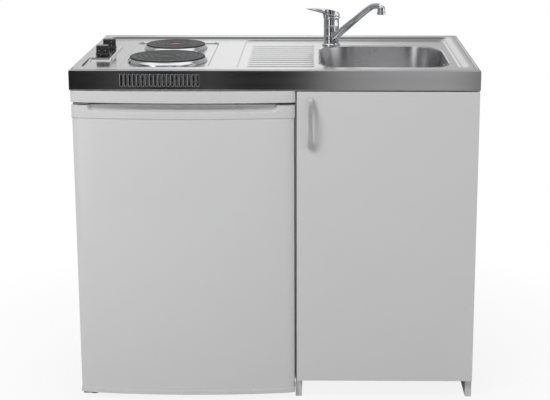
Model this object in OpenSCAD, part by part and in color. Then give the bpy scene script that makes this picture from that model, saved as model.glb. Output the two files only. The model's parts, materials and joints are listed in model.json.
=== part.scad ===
// Kitchenette unit: a pressed steel worktop with hob and sink, on a sink cabinet and a refrigerator.
// X runs left to right, Y from front to back, Z up from the floor. Sizes are in millimetres.

/* [Worktop] */
// Width of the bay that holds the refrigerator
bay_w = 550; // [550:5:560]
// Width of the sink cabinet
cab_w = 450; // [450:5:500]
// Depth of the worktop, front to back
top_d = 600; // [600:5:640]
// Height of the worktop above the floor
top_h = 850; // [848:1:900]
// Height of the front and side aprons
apron_h = 50; // [44:1:52]
// Thickness of the pressed sheet
sheet_t = 1; // [0.8:0.1:1.4]
// Radius of the rounded front edge
nose_r = 4; // [3:0.5:6]
// Depth of the deck below the raised border
deck_drop = 6; // [4:0.5:7]
// Width of the front border
rim_front = 46; // [40:1:50]
// Width of the left border
rim_left = 22; // [16:1:24]
// Width of the right border
rim_right = 20; // [16:1:28]
// Width of the back border
rim_back = 32; // [24:1:36]
// Number of vent slots in the apron
vent_count = 19; // [8:1:22]
// Distance from one vent slot to the next
vent_pitch = 10.3; // [9:0.1:11]
// Height of a vent slot
vent_h = 30; // [20:1:34]
// Width of a vent slot
vent_w = 5; // [3:0.5:6]

/* [Hob] */
// Distance from the worktop's left end to the hob recess
hob_in = 108; // [104:1:118]
// Width of the hob recess
hob_w = 224; // [220:1:240]
// Depth of the hob recess below the deck
hob_drop = 3; // [2:0.5:4]
// Outside diameter of the front spill ring
front_ring_d = 206; // [196:1:208]
// Outside diameter of the rear spill ring
rear_ring_d = 172; // [160:1:176]
// Height of the cast plates above the hob recess
plate_rise = 14; // [11:0.5:16]
// Distance of the front hotplate's centre from the recess's front edge
front_plate_in = 108; // [106:1:112]
// Distance of the rear hotplate's centre from the recess's front edge
rear_plate_in = 320; // [314:1:322]
// Diameter of a hob knob
knob_d = 37; // [32:1:40]
// Height of a hob knob
knob_h = 27; // [22:1:30]

/* [Sink] */
// Depth of the sink recess below the deck
sink_drop = 2; // [1.5:0.5:3]
// Width of the bowl
bowl_w = 326; // [300:2:330]
// Length of the bowl, front to back
bowl_l = 377; // [340:1:380]
// Depth of the bowl
bowl_depth = 150; // [130:5:170]
// Corner radius of the bowl's opening
bowl_r = 100; // [70:2:110]
// Number of ribs on the drainer
rib_count = 11; // [6:1:11]
// Distance from one drainer rib to the next
rib_pitch = 34; // [30:1:34]
// Height of a drainer rib
rib_h = 2.4; // [1.6:0.1:3]
// Diameter of the waste flange
waste_d = 84; // [76:1:96]
// Diameter of the waste outlet pipe
outlet_d = 40; // [32:1:50]

/* [Tap] */
// Diameter of the tap body
tap_d = 42; // [40:1:46]
// Height of the tap body below its cap
tap_h = 67; // [62:1:80]
// Reach of the spout from the tap's axis
spout_reach = 215; // [180:5:240]
// Rise of the spout's top above the worktop border
spout_rise = 128; // [116:2:150]
// Angle of the spout from the right towards the front
spout_turn = 52; // [40:1:70]
// Length of the lever from the tap's axis
lever_l = 81; // [70:1:100]
// Angle of the lever from the left towards the front
lever_turn = 35; // [0:1:60]

/* [Cabinet] */
// Thickness of the cabinet boards
board_t = 16; // [15:0.5:18]
// Thickness of the cabinet door
door_t = 16; // [16:0.5:18]
// Clearance between the door and the cabinet front
door_gap = 2; // [2:0.1:3]
// Height of the cabinet floor's underside above the floor
plinth_h = 50; // [40:2:80]
// Length of the bow handle
handle_l = 130; // [116:2:160]
// Projection of the bow handle from the door
handle_out = 28; // [24:1:34]

/* [Refrigerator] */
// Gap between the worktop's apron and the refrigerator's lid
fridge_gap = 6; // [4:1:14]
// Depth of the refrigerator behind its door
fridge_d = 490; // [460:5:520]
// Thickness of the insulated walls
wall_t = 38; // [34:1:44]
// Thickness of the refrigerator door at its edges
fdoor_t = 44; // [40:1:48]
// Bulge of the refrigerator door at the middle
door_bulge = 18; // [10:1:22]
// Height of the refrigerator door's lower edge
fdoor_low = 17; // [16:1:30]
// Height of the door's top trim
trim_h = 31; // [28:1:40]
// Length of the grip recess
grip_l = 465; // [380:5:480]
// Thickness of the shelf glass
glass_t = 4; // [3:0.5:5]
// Height of the crisper drawer
crisper_h = 150; // [110:5:160]

/* [Hidden] */
$fn = 48;
HULL_FN = 24;
e = 0.01;            // overshoot of a cut past a face
fit = 0.3;           // gap between pieces that only lie close to each other
run = 0.06;          // radial clearance of a pin in its bore

steel = [0.78, 0.79, 0.80];
chrome = [0.86, 0.87, 0.89];
black = [0.08, 0.08, 0.09];
iron = [0.20, 0.20, 0.21];
white = [0.88, 0.88, 0.87];
board_white = [0.84, 0.84, 0.83];
zinc = [0.62, 0.63, 0.65];
grey_plastic = [0.55, 0.56, 0.57];
clear_blue = [0.70, 0.82, 0.86, 0.45];
brass_tint = [0.76, 0.66, 0.38];

top_w = bay_w + cab_w;
x_left = -top_w / 2;
x_right = top_w / 2;
z_apron = top_h - apron_h;
z_deck = top_h - deck_drop;
z_hob = z_deck - hob_drop;
z_sink = z_deck - sink_drop;
door_y0 = 1;         // front of the cabinet door, from the worktop's front edge
// the worktop's front edge lies at y = 0 here, and the whole unit is moved so that its origin is central
y_origin = (top_d + door_y0 - handle_out) / 2;

// deck pocket: its outline at the border, and at the deck where its walls end
deck_hi = [x_left + rim_left, rim_front, x_right - rim_right, top_d - rim_back];
deck_lo = [x_left + rim_left + 2, rim_front + 12, x_right - rim_right - 19, top_d - rim_back - 16];
hob_x0 = x_left + hob_in;
hob_l = 412;         // depth of the hob's recess, front to back
hob_y0 = deck_lo[1] + (deck_lo[3] - deck_lo[1] - hob_l) * 15 / 41;
hob_hi = [hob_x0, hob_y0, hob_x0 + hob_w, hob_y0 + hob_l];
hob_lo = [hob_x0 + 3, hob_y0 + 3, hob_x0 + hob_w - 3, hob_y0 + hob_l - 3];
// raised plateau for the knobs, at border height
plateau = [x_left + rim_left - 10, hob_y0 + 102, x_left + 78, hob_y0 + 304];
sink_x0 = x_right - cab_w - 147;
sink_hi = [sink_x0, deck_lo[1] + 3, deck_lo[2] - 2, deck_lo[3] - 6];
sink_lo = [sink_x0 + 4, deck_lo[1] + 6, deck_lo[2] - 5, deck_lo[3] - 9];
plate_x = hob_x0 + hob_w / 2;
front_plate_y = hob_y0 + front_plate_in;
rear_plate_y = hob_y0 + rear_plate_in;
plate_top = z_hob + plate_rise;
cast_inset = 7;      // the cast plate is this much smaller in radius than its ring
cast_t = 12;         // thickness of a cast plate
knob_x = x_left + 50;
front_knob_y = plateau[1] + 35;
rear_knob_y = plateau[3] - 52;
shaft_r = 3;         // radius of a switch shaft
knob_gap = 1;        // gap below a knob

bowl_cx = x_right - 226;
sink_spare = sink_lo[3] - sink_lo[1] - bowl_l - 38; // room left by the bowl and the tap
bowl_cy = sink_lo[1] + sink_spare * 11 / 64 + bowl_l / 2;
bowl_box = [bowl_cx - bowl_w / 2, bowl_cy - bowl_l / 2, bowl_cx + bowl_w / 2, bowl_cy + bowl_l / 2];
z_bowl = z_sink - sheet_t;
z_bowl_floor = z_bowl - bowl_depth;
waste_hole_r = waste_d / 2 - 8;
flange_t = 2;        // thickness of the waste flange's rim
branch_drop = 19;    // the overflow joins the waste body this far below the bowl's floor
branch_l = waste_d / 2 + 22;
overflow_z = z_bowl - 34;
wall_in = 14;        // the bowl's wall leans in by this much down to its lower curve
curve_h = 34;        // height of that lower curve
bowl_lean = atan(wall_in / (bowl_depth - curve_h));
overflow_x = bowl_cx + bowl_w / 2 - (z_bowl - overflow_z) * tan(bowl_lean);
overflow_r = 11;     // radius of the overflow hole
rib_x0 = sink_x0 + 22;
rib_l = bowl_box[0] - 14 - rib_x0;
rib_r = 30;          // radius of a rib's round back
rib_y0 = (sink_hi[1] + sink_hi[3]) / 2 - 31 - (rib_count - 1) / 2 * rib_pitch;

tap_x = bowl_box[0] + 31;
tap_y = bowl_box[3] + 13;
tap_r = tap_d / 2;
tap_hole_r = 17.5;
base_h = 6;
swivel_lo = z_sink + base_h + 2;
swivel_hi = swivel_lo + 30;
cap_lo = z_sink + base_h + tap_h;
core_r = tap_r - 5;  // the fixed core that the spout's sleeve turns on
spout_r0 = 10.5;
spout_r1 = 8.5;
lift_z = cap_lo - 3; // height of the axis that the lever lifts about
seat_z = cap_lo - 18; // floor of the recess in the tap body that holds the spindle
spindle_r = 5;
lift_pin_r = 2;
tongue_w = 6;        // thickness of the spindle's flat tongue

side_d = top_d - 40; // depth of the cabinet's sides
cab_x0 = x_right - cab_w;
side_y0 = door_y0 + door_t + door_gap;
door_x0 = cab_x0 + 4;
door_x1 = x_right - 1;
door_z0 = plinth_h - 1;
door_z1 = z_apron - 3;
// the concealed hinges carry the door about an axis 5.5 mm in from the side's face and the door's back
cup_x = x_right - 22.5;
cup_r = 17.5;
cup_depth = 11;
cup_zs = [door_z0 + 95, door_z1 - 95];
link_ax = x_right - 19;
link_ay = side_y0 + 0.5;
link_l = 19;
link_a = 210;        // direction of the link when the door is shut
pivot_r = 1.5;

fridge_h = z_apron - fridge_gap;
fr_x0 = x_left + 3;
fr_x1 = x_left + bay_w - 1;
fr_w = fr_x1 - fr_x0;
fr_cx = (fr_x0 + fr_x1) / 2;
fdoor_y1 = fdoor_t;
gasket_t = 12;
fr_y0 = fdoor_y1 + gasket_t;
fr_y1 = fr_y0 + fridge_d;
fr_z0 = 32;
lid_t = 4;
fr_z1 = fridge_h - lid_t;
strip_h = 24;        // height of the lid's front strip
lid_gap = 7;         // gap between the lid's strip and the door
fdoor_z1 = fridge_h - strip_h - lid_gap;
trim_lo = fdoor_z1 - trim_h;
foot_trim_h = 12;
skin_in = 1.5;       // the painted panel is set in from the trims by this much
pin_x = fr_x0 + 14;
pin_y = 14;
pin_r = 4;
bracket_t = 3;
cav_x0 = fr_x0 + wall_t;
cav_x1 = fr_x1 - wall_t;
cav_y1 = fr_y1 - wall_t - 6;
cav_z0 = fr_z0 + wall_t + 6;
cav_z1 = fdoor_z1 - 28; // the gasket has to stay behind the door
liner_t = 2;
skin_t = 1;          // thickness of the painted sheet
hump_y = cav_y1 - 120;
hump_z = cav_z0 + 150;
niche_y = fr_y1 - 150;
niche_z = fr_z0 + 170;
in_x0 = cav_x0 + liner_t;
in_x1 = cav_x1 - liner_t;
in_y1 = cav_y1 - liner_t;
in_z0 = cav_z0 + liner_t;
in_z1 = cav_z1 - liner_t;
dyke_x0 = in_x0 + 14;
dyke_x1 = in_x1 - 12;
dyke_y1 = fr_y0 + 34;
ledge = 5;           // how far the liner's shelf ledges stand in
crisper_top = in_z0 + crisper_h + 6;
rail_d = 10;         // depth of a glass shelf's front rail
ice_z0 = in_z1 - 128;
shelf_zs = [crisper_top, crisper_top + (ice_z0 - crisper_top) * 0.458];
shelf_ys = [fr_y0 + 48, fr_y0 + 58];
stat_z = ice_z0 - 66;
stat_y = fr_y0 + 120;
stat_w = 34;         // how far the thermostat housing stands in from the wall

function grow(b, g) = [b[0] - g, b[1] - g, b[2] + g, b[3] + g];

// ---- shared shapes ----

// flat rectangle with round corners, from [x0, y0, x1, y1]
module pad(b, r) {
  translate([b[0] + r, b[1]]) square([b[2] - b[0] - 2 * r, b[3] - b[1]]);
  translate([b[0], b[1] + r]) square([b[2] - b[0], b[3] - b[1] - 2 * r]);
  for (x = [b[0] + r, b[2] - r], y = [b[1] + r, b[3] - r]) translate([x, y]) circle(r);
}

module block(x0, y0, z0, x1, y1, z1) {
  translate([x0, y0, z0]) cube([x1 - x0, y1 - y0, z1 - z0]);
}

// tray-shaped solid with sloping walls between two outlines
module pocket(hi, lo, r_hi, r_lo, z_hi, z_lo) {
  hull() {
    translate([0, 0, z_hi]) linear_extrude(e) pad(hi, r_hi, $fn = HULL_FN);
    translate([0, 0, z_lo]) linear_extrude(e) pad(lo, r_lo, $fn = HULL_FN);
  }
}

// tube or rod along x or y
module rod_x(x0, x1, y, z, r) {
  translate([x0, y, z]) rotate([0, 90, 0]) cylinder(r = r, h = x1 - x0);
}
module rod_y(y0, y1, x, z, r) {
  translate([x, y0, z]) rotate([-90, 0, 0]) cylinder(r = r, h = y1 - y0);
}
module rod_z(z0, z1, x, y, r) {
  translate([x, y, z0]) cylinder(r = r, h = z1 - z0);
}

// ---- worktop ----

// cross-section of the worktop's outside along its depth, with the rounded front edge
module blank_section(inset) {
  r = nose_r - inset;
  difference() {
    translate([inset, z_apron - (inset > 0 ? 1 : 0)])
      square([top_d - 2 * inset, apron_h - inset + (inset > 0 ? 1 : 0)]);
    translate([inset - e, top_h - nose_r]) square([r + e, r + 1]);
  }
  translate([nose_r, top_h - nose_r]) circle(r);
}

module blank(inset) {
  translate([x_left + inset, 0, 0]) rotate([90, 0, 90])
    linear_extrude(top_w - 2 * inset) blank_section(inset);
}

// everything that is pressed down from the border, grown and lowered by g for the underside
module pressing(g) {
  translate([0, 0, -g]) {
    difference() {
      pocket(grow(deck_hi, g), grow(deck_lo, g), 20 + g, 14 + g, top_h, z_deck);
      translate([0, 0, z_deck - 1]) linear_extrude(deck_drop + 3) pad(grow(plateau, -g), 6 - g);
    }
    pocket(grow(hob_hi, g), grow(hob_lo, g), 18 + g, 15 + g, z_deck, z_hob);
    pocket(grow(sink_hi, g), grow(sink_lo, g), 24 + g, 20 + g, z_deck, z_sink);
  }
}

// raised drainer ribs: long bars with a round back
module ribs(drop) {
  z = z_sink - rib_r + rib_h - drop;
  for (i = [0 : rib_count - 1]) intersection() {
    rod_x(rib_x0 + drop, rib_x0 + rib_l - drop, rib_y0 + i * rib_pitch, z, rib_r);
    block(rib_x0, 0, z_sink - sheet_t - drop, rib_x0 + rib_l, top_d, top_h);
  }
}

module vent_slots() {
  x0 = x_left + 128;
  for (i = [0 : vent_count - 1]) translate([x0 + i * vent_pitch, -1, top_h - 25])
    rotate([-90, 0, 0]) linear_extrude(sheet_t + 2)
      pad([-vent_w / 2, -vent_h / 2, vent_w / 2, vent_h / 2], vent_w / 2 - e);
}

module worktop() color(steel) {
  difference() {
    union() {
      difference() {
        blank(0);
        difference() {
          blank(sheet_t);
          pressing(sheet_t);
        }
        pressing(0);
      }
      ribs(0);
    }
    ribs(sheet_t);
    vent_slots();
    translate([0, 0, z_hob - 5]) for (p = [[front_plate_y, front_ring_d], [rear_plate_y, rear_ring_d]])
      translate([plate_x, p[0], 0]) cylinder(r = p[1] / 2 - 8, h = 10);
    for (y = [front_knob_y, rear_knob_y]) rod_z(top_h - 8, top_h + 1, knob_x, y, shaft_r + 2);
    rod_z(z_sink - 5, z_sink + 5, tap_x, tap_y, tap_hole_r);
    translate([0, 0, z_sink - 5]) linear_extrude(10) pad(bowl_box, bowl_r);
  }
  block(x_left + sheet_t, sheet_t, z_apron, x_right - sheet_t, 12, z_apron + sheet_t);
}

// deep-drawn bowl, tapering to a dished floor
module bowl_shape(g, top) {
  hull() for (c = [[0, 0, top - e], [wall_in, 10, z_bowl_floor + curve_h],
                   [30, 28, z_bowl_floor + 8 - g], [52, 46, z_bowl_floor - g]])
    translate([0, 0, c[2]]) linear_extrude(e) pad(grow(bowl_box, g - c[0]), bowl_r - c[1] + g, $fn = 48);
}

module sink_bowl() color(steel) difference() {
  union() {
    bowl_shape(sheet_t, z_bowl);
    translate([0, 0, z_bowl - sheet_t]) linear_extrude(sheet_t) pad(grow(bowl_box, 9), bowl_r + 9);
  }
  bowl_shape(0, z_bowl + 1);
  rod_z(z_bowl_floor - 5, z_bowl_floor + 5, bowl_cx, bowl_cy, waste_hole_r);
  rod_x(overflow_x - 16, overflow_x + 24, bowl_cy, overflow_z, overflow_r);
}

// battens that carry the worktop on the cabinet and on the refrigerator
module carrier_battens() color([0.76, 0.66, 0.50]) {
  top = top_h - sheet_t;
  x0 = x_left + sheet_t + 1;
  x1 = x_right - sheet_t - 1;
  block(x0, side_y0 + 1, fridge_h, x0 + board_t, top_d - 34, top);
  block(x1 - board_t, side_y0 + 1, z_apron, x1, top_d - 34, top);
  block(cab_x0, side_y0 + 1, z_apron, cab_x0 + board_t, top_d - 34, z_sink - sheet_t - 0.2);
  block(x0, top_d - 10 - board_t, z_apron + 2, x1, top_d - 10, top);
}

// ---- waste ----

module waste_flange() color(chrome) translate([bowl_cx, bowl_cy, z_bowl_floor]) difference() {
  union() {
    rotate_extrude() polygon([[0, 0], [waste_d / 2, 0], [waste_d / 2 - 1, flange_t], [0, flange_t]]);
    translate([0, 0, -22]) cylinder(r = waste_hole_r - 0.5, h = 22 + e);
  }
  translate([0, 0, -18]) cylinder(r = waste_hole_r - 2.5, h = 30);
  translate([0, 0, -30]) cylinder(r = 16, h = 30);
}

// lift-out basket strainer with its knob and drain holes
module strainer() color(chrome) translate([bowl_cx, bowl_cy, z_bowl_floor]) {
  r = waste_hole_r - 4;
  difference() {
    rotate_extrude() polygon([
      [0, -15], [r - 6, -15], [r, -8], [r, flange_t + fit], [waste_d / 2 - 6, flange_t + fit],
      [waste_d / 2 - 6, flange_t + fit + 1.2], [r - 1.5, flange_t + fit + 1.2], [r - 1.5, -7.4],
      [r - 6.6, -13.6], [0, -13.6]]);
    for (ring = [[6, 11], [12, 19]], i = [0 : ring[0] - 1]) rotate(i * 360 / ring[0])
      translate([ring[1], 0, -20]) cylinder(r = 2, h = 10);
  }
  translate([0, 0, -13.8]) cylinder(r = 3, h = 17);
  translate([0, 0, 3]) rotate_extrude()
    polygon([[0, 0], [4, 0], [7.5, 3], [7.5, 5], [6, 6.4], [0, 7]]);
}

// body below the bowl, with the branch that the overflow joins
module waste_body() color(grey_plastic) translate([bowl_cx, bowl_cy, z_bowl_floor - sheet_t]) difference() {
  union() {
    rotate_extrude() polygon([
      [waste_hole_r, 0], [waste_d / 2, 0], [waste_d / 2, -5],
      [waste_hole_r + 3, -8], [waste_hole_r + 3, -30],
      [22, -40], [19, -44], [19, -62], [0, -62], [0, -22], [waste_hole_r, -22]]);
    rod_x(0, branch_l, 0, sheet_t - branch_drop, 9);
  }
  translate([0, 0, -70]) cylinder(r = 16, h = 60);
  translate([0, 0, -22]) cylinder(r = waste_hole_r - 0.3, h = 23);
  rod_x(0, branch_l + 1, 0, sheet_t - branch_drop, 7);
}

trap_z1 = z_bowl_floor - sheet_t - 62;
trap_z0 = trap_z1 - 150;
outlet_z = trap_z1 - 45;

// bottle trap with a ribbed screw cup
module bottle_trap() color(grey_plastic) translate([bowl_cx, bowl_cy, 0]) difference() {
  union() {
    rod_z(trap_z1 - 22, trap_z1, 0, 0, 24);
    translate([0, 0, trap_z0]) rotate_extrude() polygon([
      [0, 0], [22, 0], [26, 4], [31, 34], [35, 36], [35, 52], [33, 54], [33, 124], [24, 130], [0, 130]]);
    rod_y(0, 56, 0, outlet_z, outlet_d / 2 + 4);
    for (i = [0 : 11]) rotate(i * 30) translate([34.5, 0, trap_z0 + 37]) cylinder(r = 1.8, h = 14);
  }
  rod_z(trap_z0 + 10, trap_z1 + 1, 0, 0, 16.5);
  rod_z(trap_z0 + 3, trap_z0 + 126, 0, 0, 21);
  rod_y(0, 60, 0, outlet_z, outlet_d / 2 + 0.05);
}

module outlet_pipe() color(grey_plastic) difference() {
  union() {
    rod_y(bowl_cy + 36, top_d - 4, bowl_cx, outlet_z, outlet_d / 2);
    rod_y(bowl_cy + 56 + fit, bowl_cy + 74, bowl_cx, outlet_z, outlet_d / 2 + 5);
  }
  rod_y(bowl_cy + 30, top_d, bowl_cx, outlet_z, outlet_d / 2 - 2);
}

module overflow_rosette() color(chrome)
translate([overflow_x - 0.1, bowl_cy, overflow_z]) rotate([0, -90 + bowl_lean, 0]) difference() {
  r = overflow_r + 5;
  union() {
    rotate_extrude() polygon([[0, 0], [r, 0], [r - 1, 2], [r - 4, 2.8], [0, 2.8]]);
    translate([0, 0, -6]) cylinder(r = 5, h = 8);
  }
  for (i = [0 : 5]) rotate(i * 60) translate([8, 0, -1]) cylinder(r = 2, h = 6);
}

// overflow elbow: its flange leans with the bowl's wall, and its pipe runs down to the waste body
module overflow_pipe() color(grey_plastic) {
  x1 = overflow_x + 21;
  z0 = z_bowl_floor - branch_drop;
  difference() {
    union() {
      translate([overflow_x + sheet_t + 0.15, bowl_cy, overflow_z]) rotate([0, 90 + bowl_lean, 0])
        cylinder(r = overflow_r + 4, h = 7);
      rod_x(overflow_x + 5, x1, bowl_cy, overflow_z, 10);
      rod_z(z0, overflow_z, x1, bowl_cy, 8);
      translate([x1, bowl_cy, overflow_z]) sphere(r = 12);
      translate([x1, bowl_cy, z0]) sphere(r = 8.4);
      rod_x(bowl_cx + branch_l, x1, bowl_cy, z0, 8);
    }
    rod_x(overflow_x - 2, x1, bowl_cy, overflow_z, 7);
    rod_z(z0, overflow_z, x1, bowl_cy, 6);
    rod_x(bowl_cx, x1, bowl_cy, z0, 6);
  }
}

// ---- hob ----

tray_box = [x_left + rim_left + 4, hob_y0 - 20, hob_x0 + hob_w + 12, hob_y0 + hob_l + 12];
tray_z = z_apron + 3;

module hob_tray() color(zinc) difference() {
  block(tray_box[0], tray_box[1], tray_z, tray_box[2], tray_box[3], z_deck - sheet_t);
  translate([0, 0, tray_z + sheet_t]) linear_extrude(apron_h) pad(grow(tray_box, -sheet_t), 3);
  for (i = [0 : 9]) block(tray_box[0] + 60 + i * 26, tray_box[1] - 1, tray_z + 12,
                          tray_box[0] + 76 + i * 26, tray_box[1] + 2, tray_z + 16);
  for (y = [front_plate_y, rear_plate_y]) rod_z(tray_z - 1, tray_z + 3, plate_x, y, 3.2);
  rod_y(tray_box[3] - 3, tray_box[3] + 3, tray_box[0] + 50, tray_z + 18, 8);
}

// cast plate: raised rim, shallow dished middle and fine turned grooves
module hotplate(y, ring_d) color(iron) translate([plate_x, y, plate_top - cast_t]) {
  r = ring_d / 2 - cast_inset;
  difference() {
    rotate_extrude($fn = 96) polygon([
      [0, 0], [r - 12, 0], [r - 9, 4], [r - 1.5, 6], [r, 7.5], [r, cast_t - 1], [r - 1, cast_t],
      [24, cast_t], [22, cast_t - 1.2], [0, cast_t - 1.2]]);
    for (k = [1 : 4]) rotate_extrude($fn = 96)
      translate([24 + (r - 28) * k / 5, cast_t]) circle(r = 0.6, $fn = 16);
    translate([0, 0, -1]) cylinder(r = 3.06, h = 6);
  }
}
module front_hotplate() hotplate(front_plate_y, front_ring_d);
module rear_hotplate() hotplate(rear_plate_y, rear_ring_d);

// stainless spill ring: flares from the cast plate's rim down to the recess
module spill_ring(y, d) color(chrome) translate([plate_x, y, z_hob]) {
  r = d / 2;
  c = r - cast_inset + fit;
  rotate_extrude($fn = 96) polygon([
    [r, 0], [r, 1.4], [r - 1.6, 4.6], [r - 4.4, 8], [c + 0.9, plate_rise - 3.6], [c, plate_rise - 3.6],
    [c, 7.6], [r - 5, 7], [r - 2.6, 4], [r - 1.2, 1], [r - 12, 1], [r - 12, 0]]);
}
module front_spill_ring() spill_ring(front_plate_y, front_ring_d);
module rear_spill_ring() spill_ring(rear_plate_y, rear_ring_d);

module red_spot() color([0.62, 0.16, 0.12]) translate([plate_x, rear_plate_y, plate_top - 1.2])
  rotate_extrude() polygon([[0, 0], [11, 0], [11, 0.5], [10, 0.9], [0, 0.9]]);

// clamp bar, stud and nut that pull each plate down onto its ring
module plate_clamps() color(zinc) {
  z_plate = plate_top - cast_t;
  bar_z = tray_z + sheet_t + fit;
  for (y = [front_plate_y, rear_plate_y]) {
    block(plate_x - 52, y - 9, bar_z, plate_x + 52, y + 9, bar_z + 2);
    rod_z(tray_z - 5, z_plate + 4, plate_x, y, 3);
    translate([plate_x, y, tray_z - 4.2]) cylinder(r = 6, h = 4, $fn = 6);
    rod_z(bar_z, z_plate - fit, plate_x, y, 7);
  }
}

module terminal_box() color(black) {
  x = tray_box[0] + 50;
  block(x - 30, tray_box[3] - 44, tray_z + sheet_t, x + 30, tray_box[3] - sheet_t - fit, tray_z + 34);
  difference() {
    union() {
      rod_y(tray_box[3] - 4, tray_box[3] + 12, x, tray_z + 18, 7.8);
      rod_y(tray_box[3] + fit, tray_box[3] + 4, x, tray_z + 18, 11);
    }
    rod_y(tray_box[3] - 5, tray_box[3] + 13, x, tray_z + 18, 4);
  }
}

// rotary switches hanging from the plateau, each with its shaft and two fixing straps
module hob_switches() color([0.30, 0.28, 0.26])
for (y = [front_knob_y, rear_knob_y]) translate([knob_x, y, 0]) {
  z1 = top_h - sheet_t;
  block(-21, -23, z1 - 26, 21, 23, z1 - 3);
  rod_z(z1 - 3 - e, z1, 0, 0, 11);
  rod_z(z1 - 4, top_h + knob_h - 9, 0, 0, shaft_r);
  for (s = [-1, 1]) block(s * 14 - 4, -27, z1 - 22, s * 14 + 4, 27, z1 - 20);
}

// fluted knob with a skirt, a pointer ridge and a band of setting dots
module knob(y) color(black) translate([knob_x, y, top_h + knob_gap]) difference() {
  union() {
    rotate_extrude($fn = 64) polygon([
      [0, 0], [knob_d / 2, 0], [knob_d / 2, 5], [knob_d / 2 - 1.2, 6], [knob_d / 2 - 1.8, knob_h - 3],
      [knob_d / 2 - 3.2, knob_h - 1], [0, knob_h - 1]]);
    block(-2, -knob_d / 2 + 3, knob_h - 1.5, 2, knob_d / 2 - 5, knob_h);
  }
  for (i = [0 : 17]) rotate(i * 20) translate([knob_d / 2 + 0.6, 0, 7.5])
    cylinder(r = 1.4, h = knob_h, $fn = 16);
  translate([0, 0, -1]) cylinder(r = shaft_r + run, h = knob_h - 8);
  translate([0, 0, -1]) cylinder(r = knob_d / 2 - 3.5, h = 4);
}
module front_knob() knob(front_knob_y);
module rear_knob() knob(rear_knob_y);

// ---- tap ----

module at_tap() translate([tap_x, tap_y, 0]) children();

module tap_body() color(chrome) at_tap() difference() {
  union() {
    translate([0, 0, z_sink]) rotate_extrude($fn = 64) polygon([
      [0, 0], [tap_r + 4, 0], [tap_r + 4, 2.5], [tap_r + 2, base_h], [0, base_h]]);
    rod_z(z_sink + base_h - e, swivel_hi + 8, 0, 0, core_r);
    rod_z(z_sink + base_h - e, swivel_lo - fit, 0, 0, tap_r, $fn = 64);
    rod_z(swivel_hi + fit, cap_lo - fit, 0, 0, tap_r, $fn = 64);
  }
  rod_z(z_sink - 1, swivel_hi, 0, 0, 8);
  rod_z(swivel_hi + 4, cap_lo + 1, 0, 0, spindle_r + run);
  rod_z(seat_z, cap_lo + 1, 0, 0, core_r);
}

// swivelling spout: a sleeve round the core, and a tapering arm that rises to a bend and turns down
module spout_arm() {
  z0 = swivel_lo + 15;
  z_top = top_h + spout_rise - spout_r1;
  bend = spout_reach * 0.74;
  z_bend = z_top - 10;
  steps = 7;
  slope = [for (i = [0 : steps]) let (t = i / steps) [
    bend + (spout_reach - bend) * t,
    z_bend + (z_top - z_bend) * sin(90 * t)]];
  pts = concat([[tap_r - 8, z0], [bend, z_bend]], [for (i = [1 : 4]) slope[i + (i > 2 ? 2 : 0)]]);
  radii = [spout_r0, spout_r1, spout_r1, spout_r1, spout_r1, spout_r1];
  for (i = [0 : len(pts) - 2]) hull() {
    translate([pts[i][0], 0, pts[i][1]]) sphere(r = radii[i], $fn = 24);
    translate([pts[i + 1][0], 0, pts[i + 1][1]]) sphere(r = radii[i + 1], $fn = 24);
  }
}

spout_tip_z = top_h + spout_rise - spout_r1 - 0.3;

module spout() color(chrome) at_tap() difference() {
  union() {
    rod_z(swivel_lo, swivel_hi, 0, 0, tap_r, $fn = 64);
    rotate(-spout_turn) {
      difference() {
        spout_arm();
        rod_z(swivel_lo - 30, swivel_hi + 60, 0, 0, core_r + 2);
        rod_z(swivel_hi, swivel_hi + 60, 0, 0, tap_r + fit);
      }
      rod_z(spout_tip_z - 16, spout_tip_z, spout_reach - 6, 0, 10);
    }
  }
  rod_z(swivel_lo - 1, swivel_hi + 1, 0, 0, core_r + run);
  rotate(-spout_turn) rod_z(spout_tip_z - 20, spout_tip_z - 8, spout_reach - 6, 0, 7.5);
}

module aerator() color(chrome) at_tap() rotate(-spout_turn) translate([spout_reach - 6, 0, spout_tip_z - 24])
difference() {
  union() {
    rotate_extrude() polygon([[0, 0], [10.4, 0], [11, 1], [11, 7.7], [0, 7.7]]);
    translate([0, 0, 7]) cylinder(r = 7.4, h = 8);
  }
  translate([0, 0, -1]) cylinder(r = 8.5, h = 4);
  for (k = [0 : 2]) rotate(k * 60) block(-7, -0.8, 1, 7, 0.8, 9);
}

module at_lever() at_tap() rotate(lever_turn) children();

// spindle of the mixer: turns in the body, and its flat tongue carries the pin that the lever lifts about
module spindle() color(brass_tint) at_lever() {
  rod_z(swivel_hi + 6, seat_z + 4, 0, 0, spindle_r);
  rod_z(seat_z + fit, seat_z + 3, 0, 0, core_r - 1.5);
  block(-4.5, -tongue_w / 2, seat_z + 3 - e, 4.5, tongue_w / 2, lift_z + 4);
  rod_y(-6.5, 6.5, 0, lift_z, lift_pin_r);
}

// side view of the lever's cap and blade: along the lever, and up
module lever_profile() {
  r = tap_r + 1.8;
  l = lever_l;
  polygon([
    [-l, cap_lo + 32], [-l + 1, cap_lo + 33.6], [-l * 0.75, cap_lo + 31.6], [-l * 0.5, cap_lo + 27.6],
    [-r, cap_lo + 24], [-11, cap_lo + 21.2], [-3, cap_lo + 19.7], [6, cap_lo + 17.5], [12, cap_lo + 15.2],
    [16, cap_lo + 13], [20, cap_lo + 11], [r - 0.4, cap_lo + 9.3], [r, cap_lo + 8], [r, cap_lo + 1.2],
    [-r, cap_lo + 1.2], [-r, cap_lo + 17], [-r - 2, cap_lo + 20], [-l * 0.5, cap_lo + 24],
    [-l * 0.75, cap_lo + 28.4]]);
}

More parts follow.
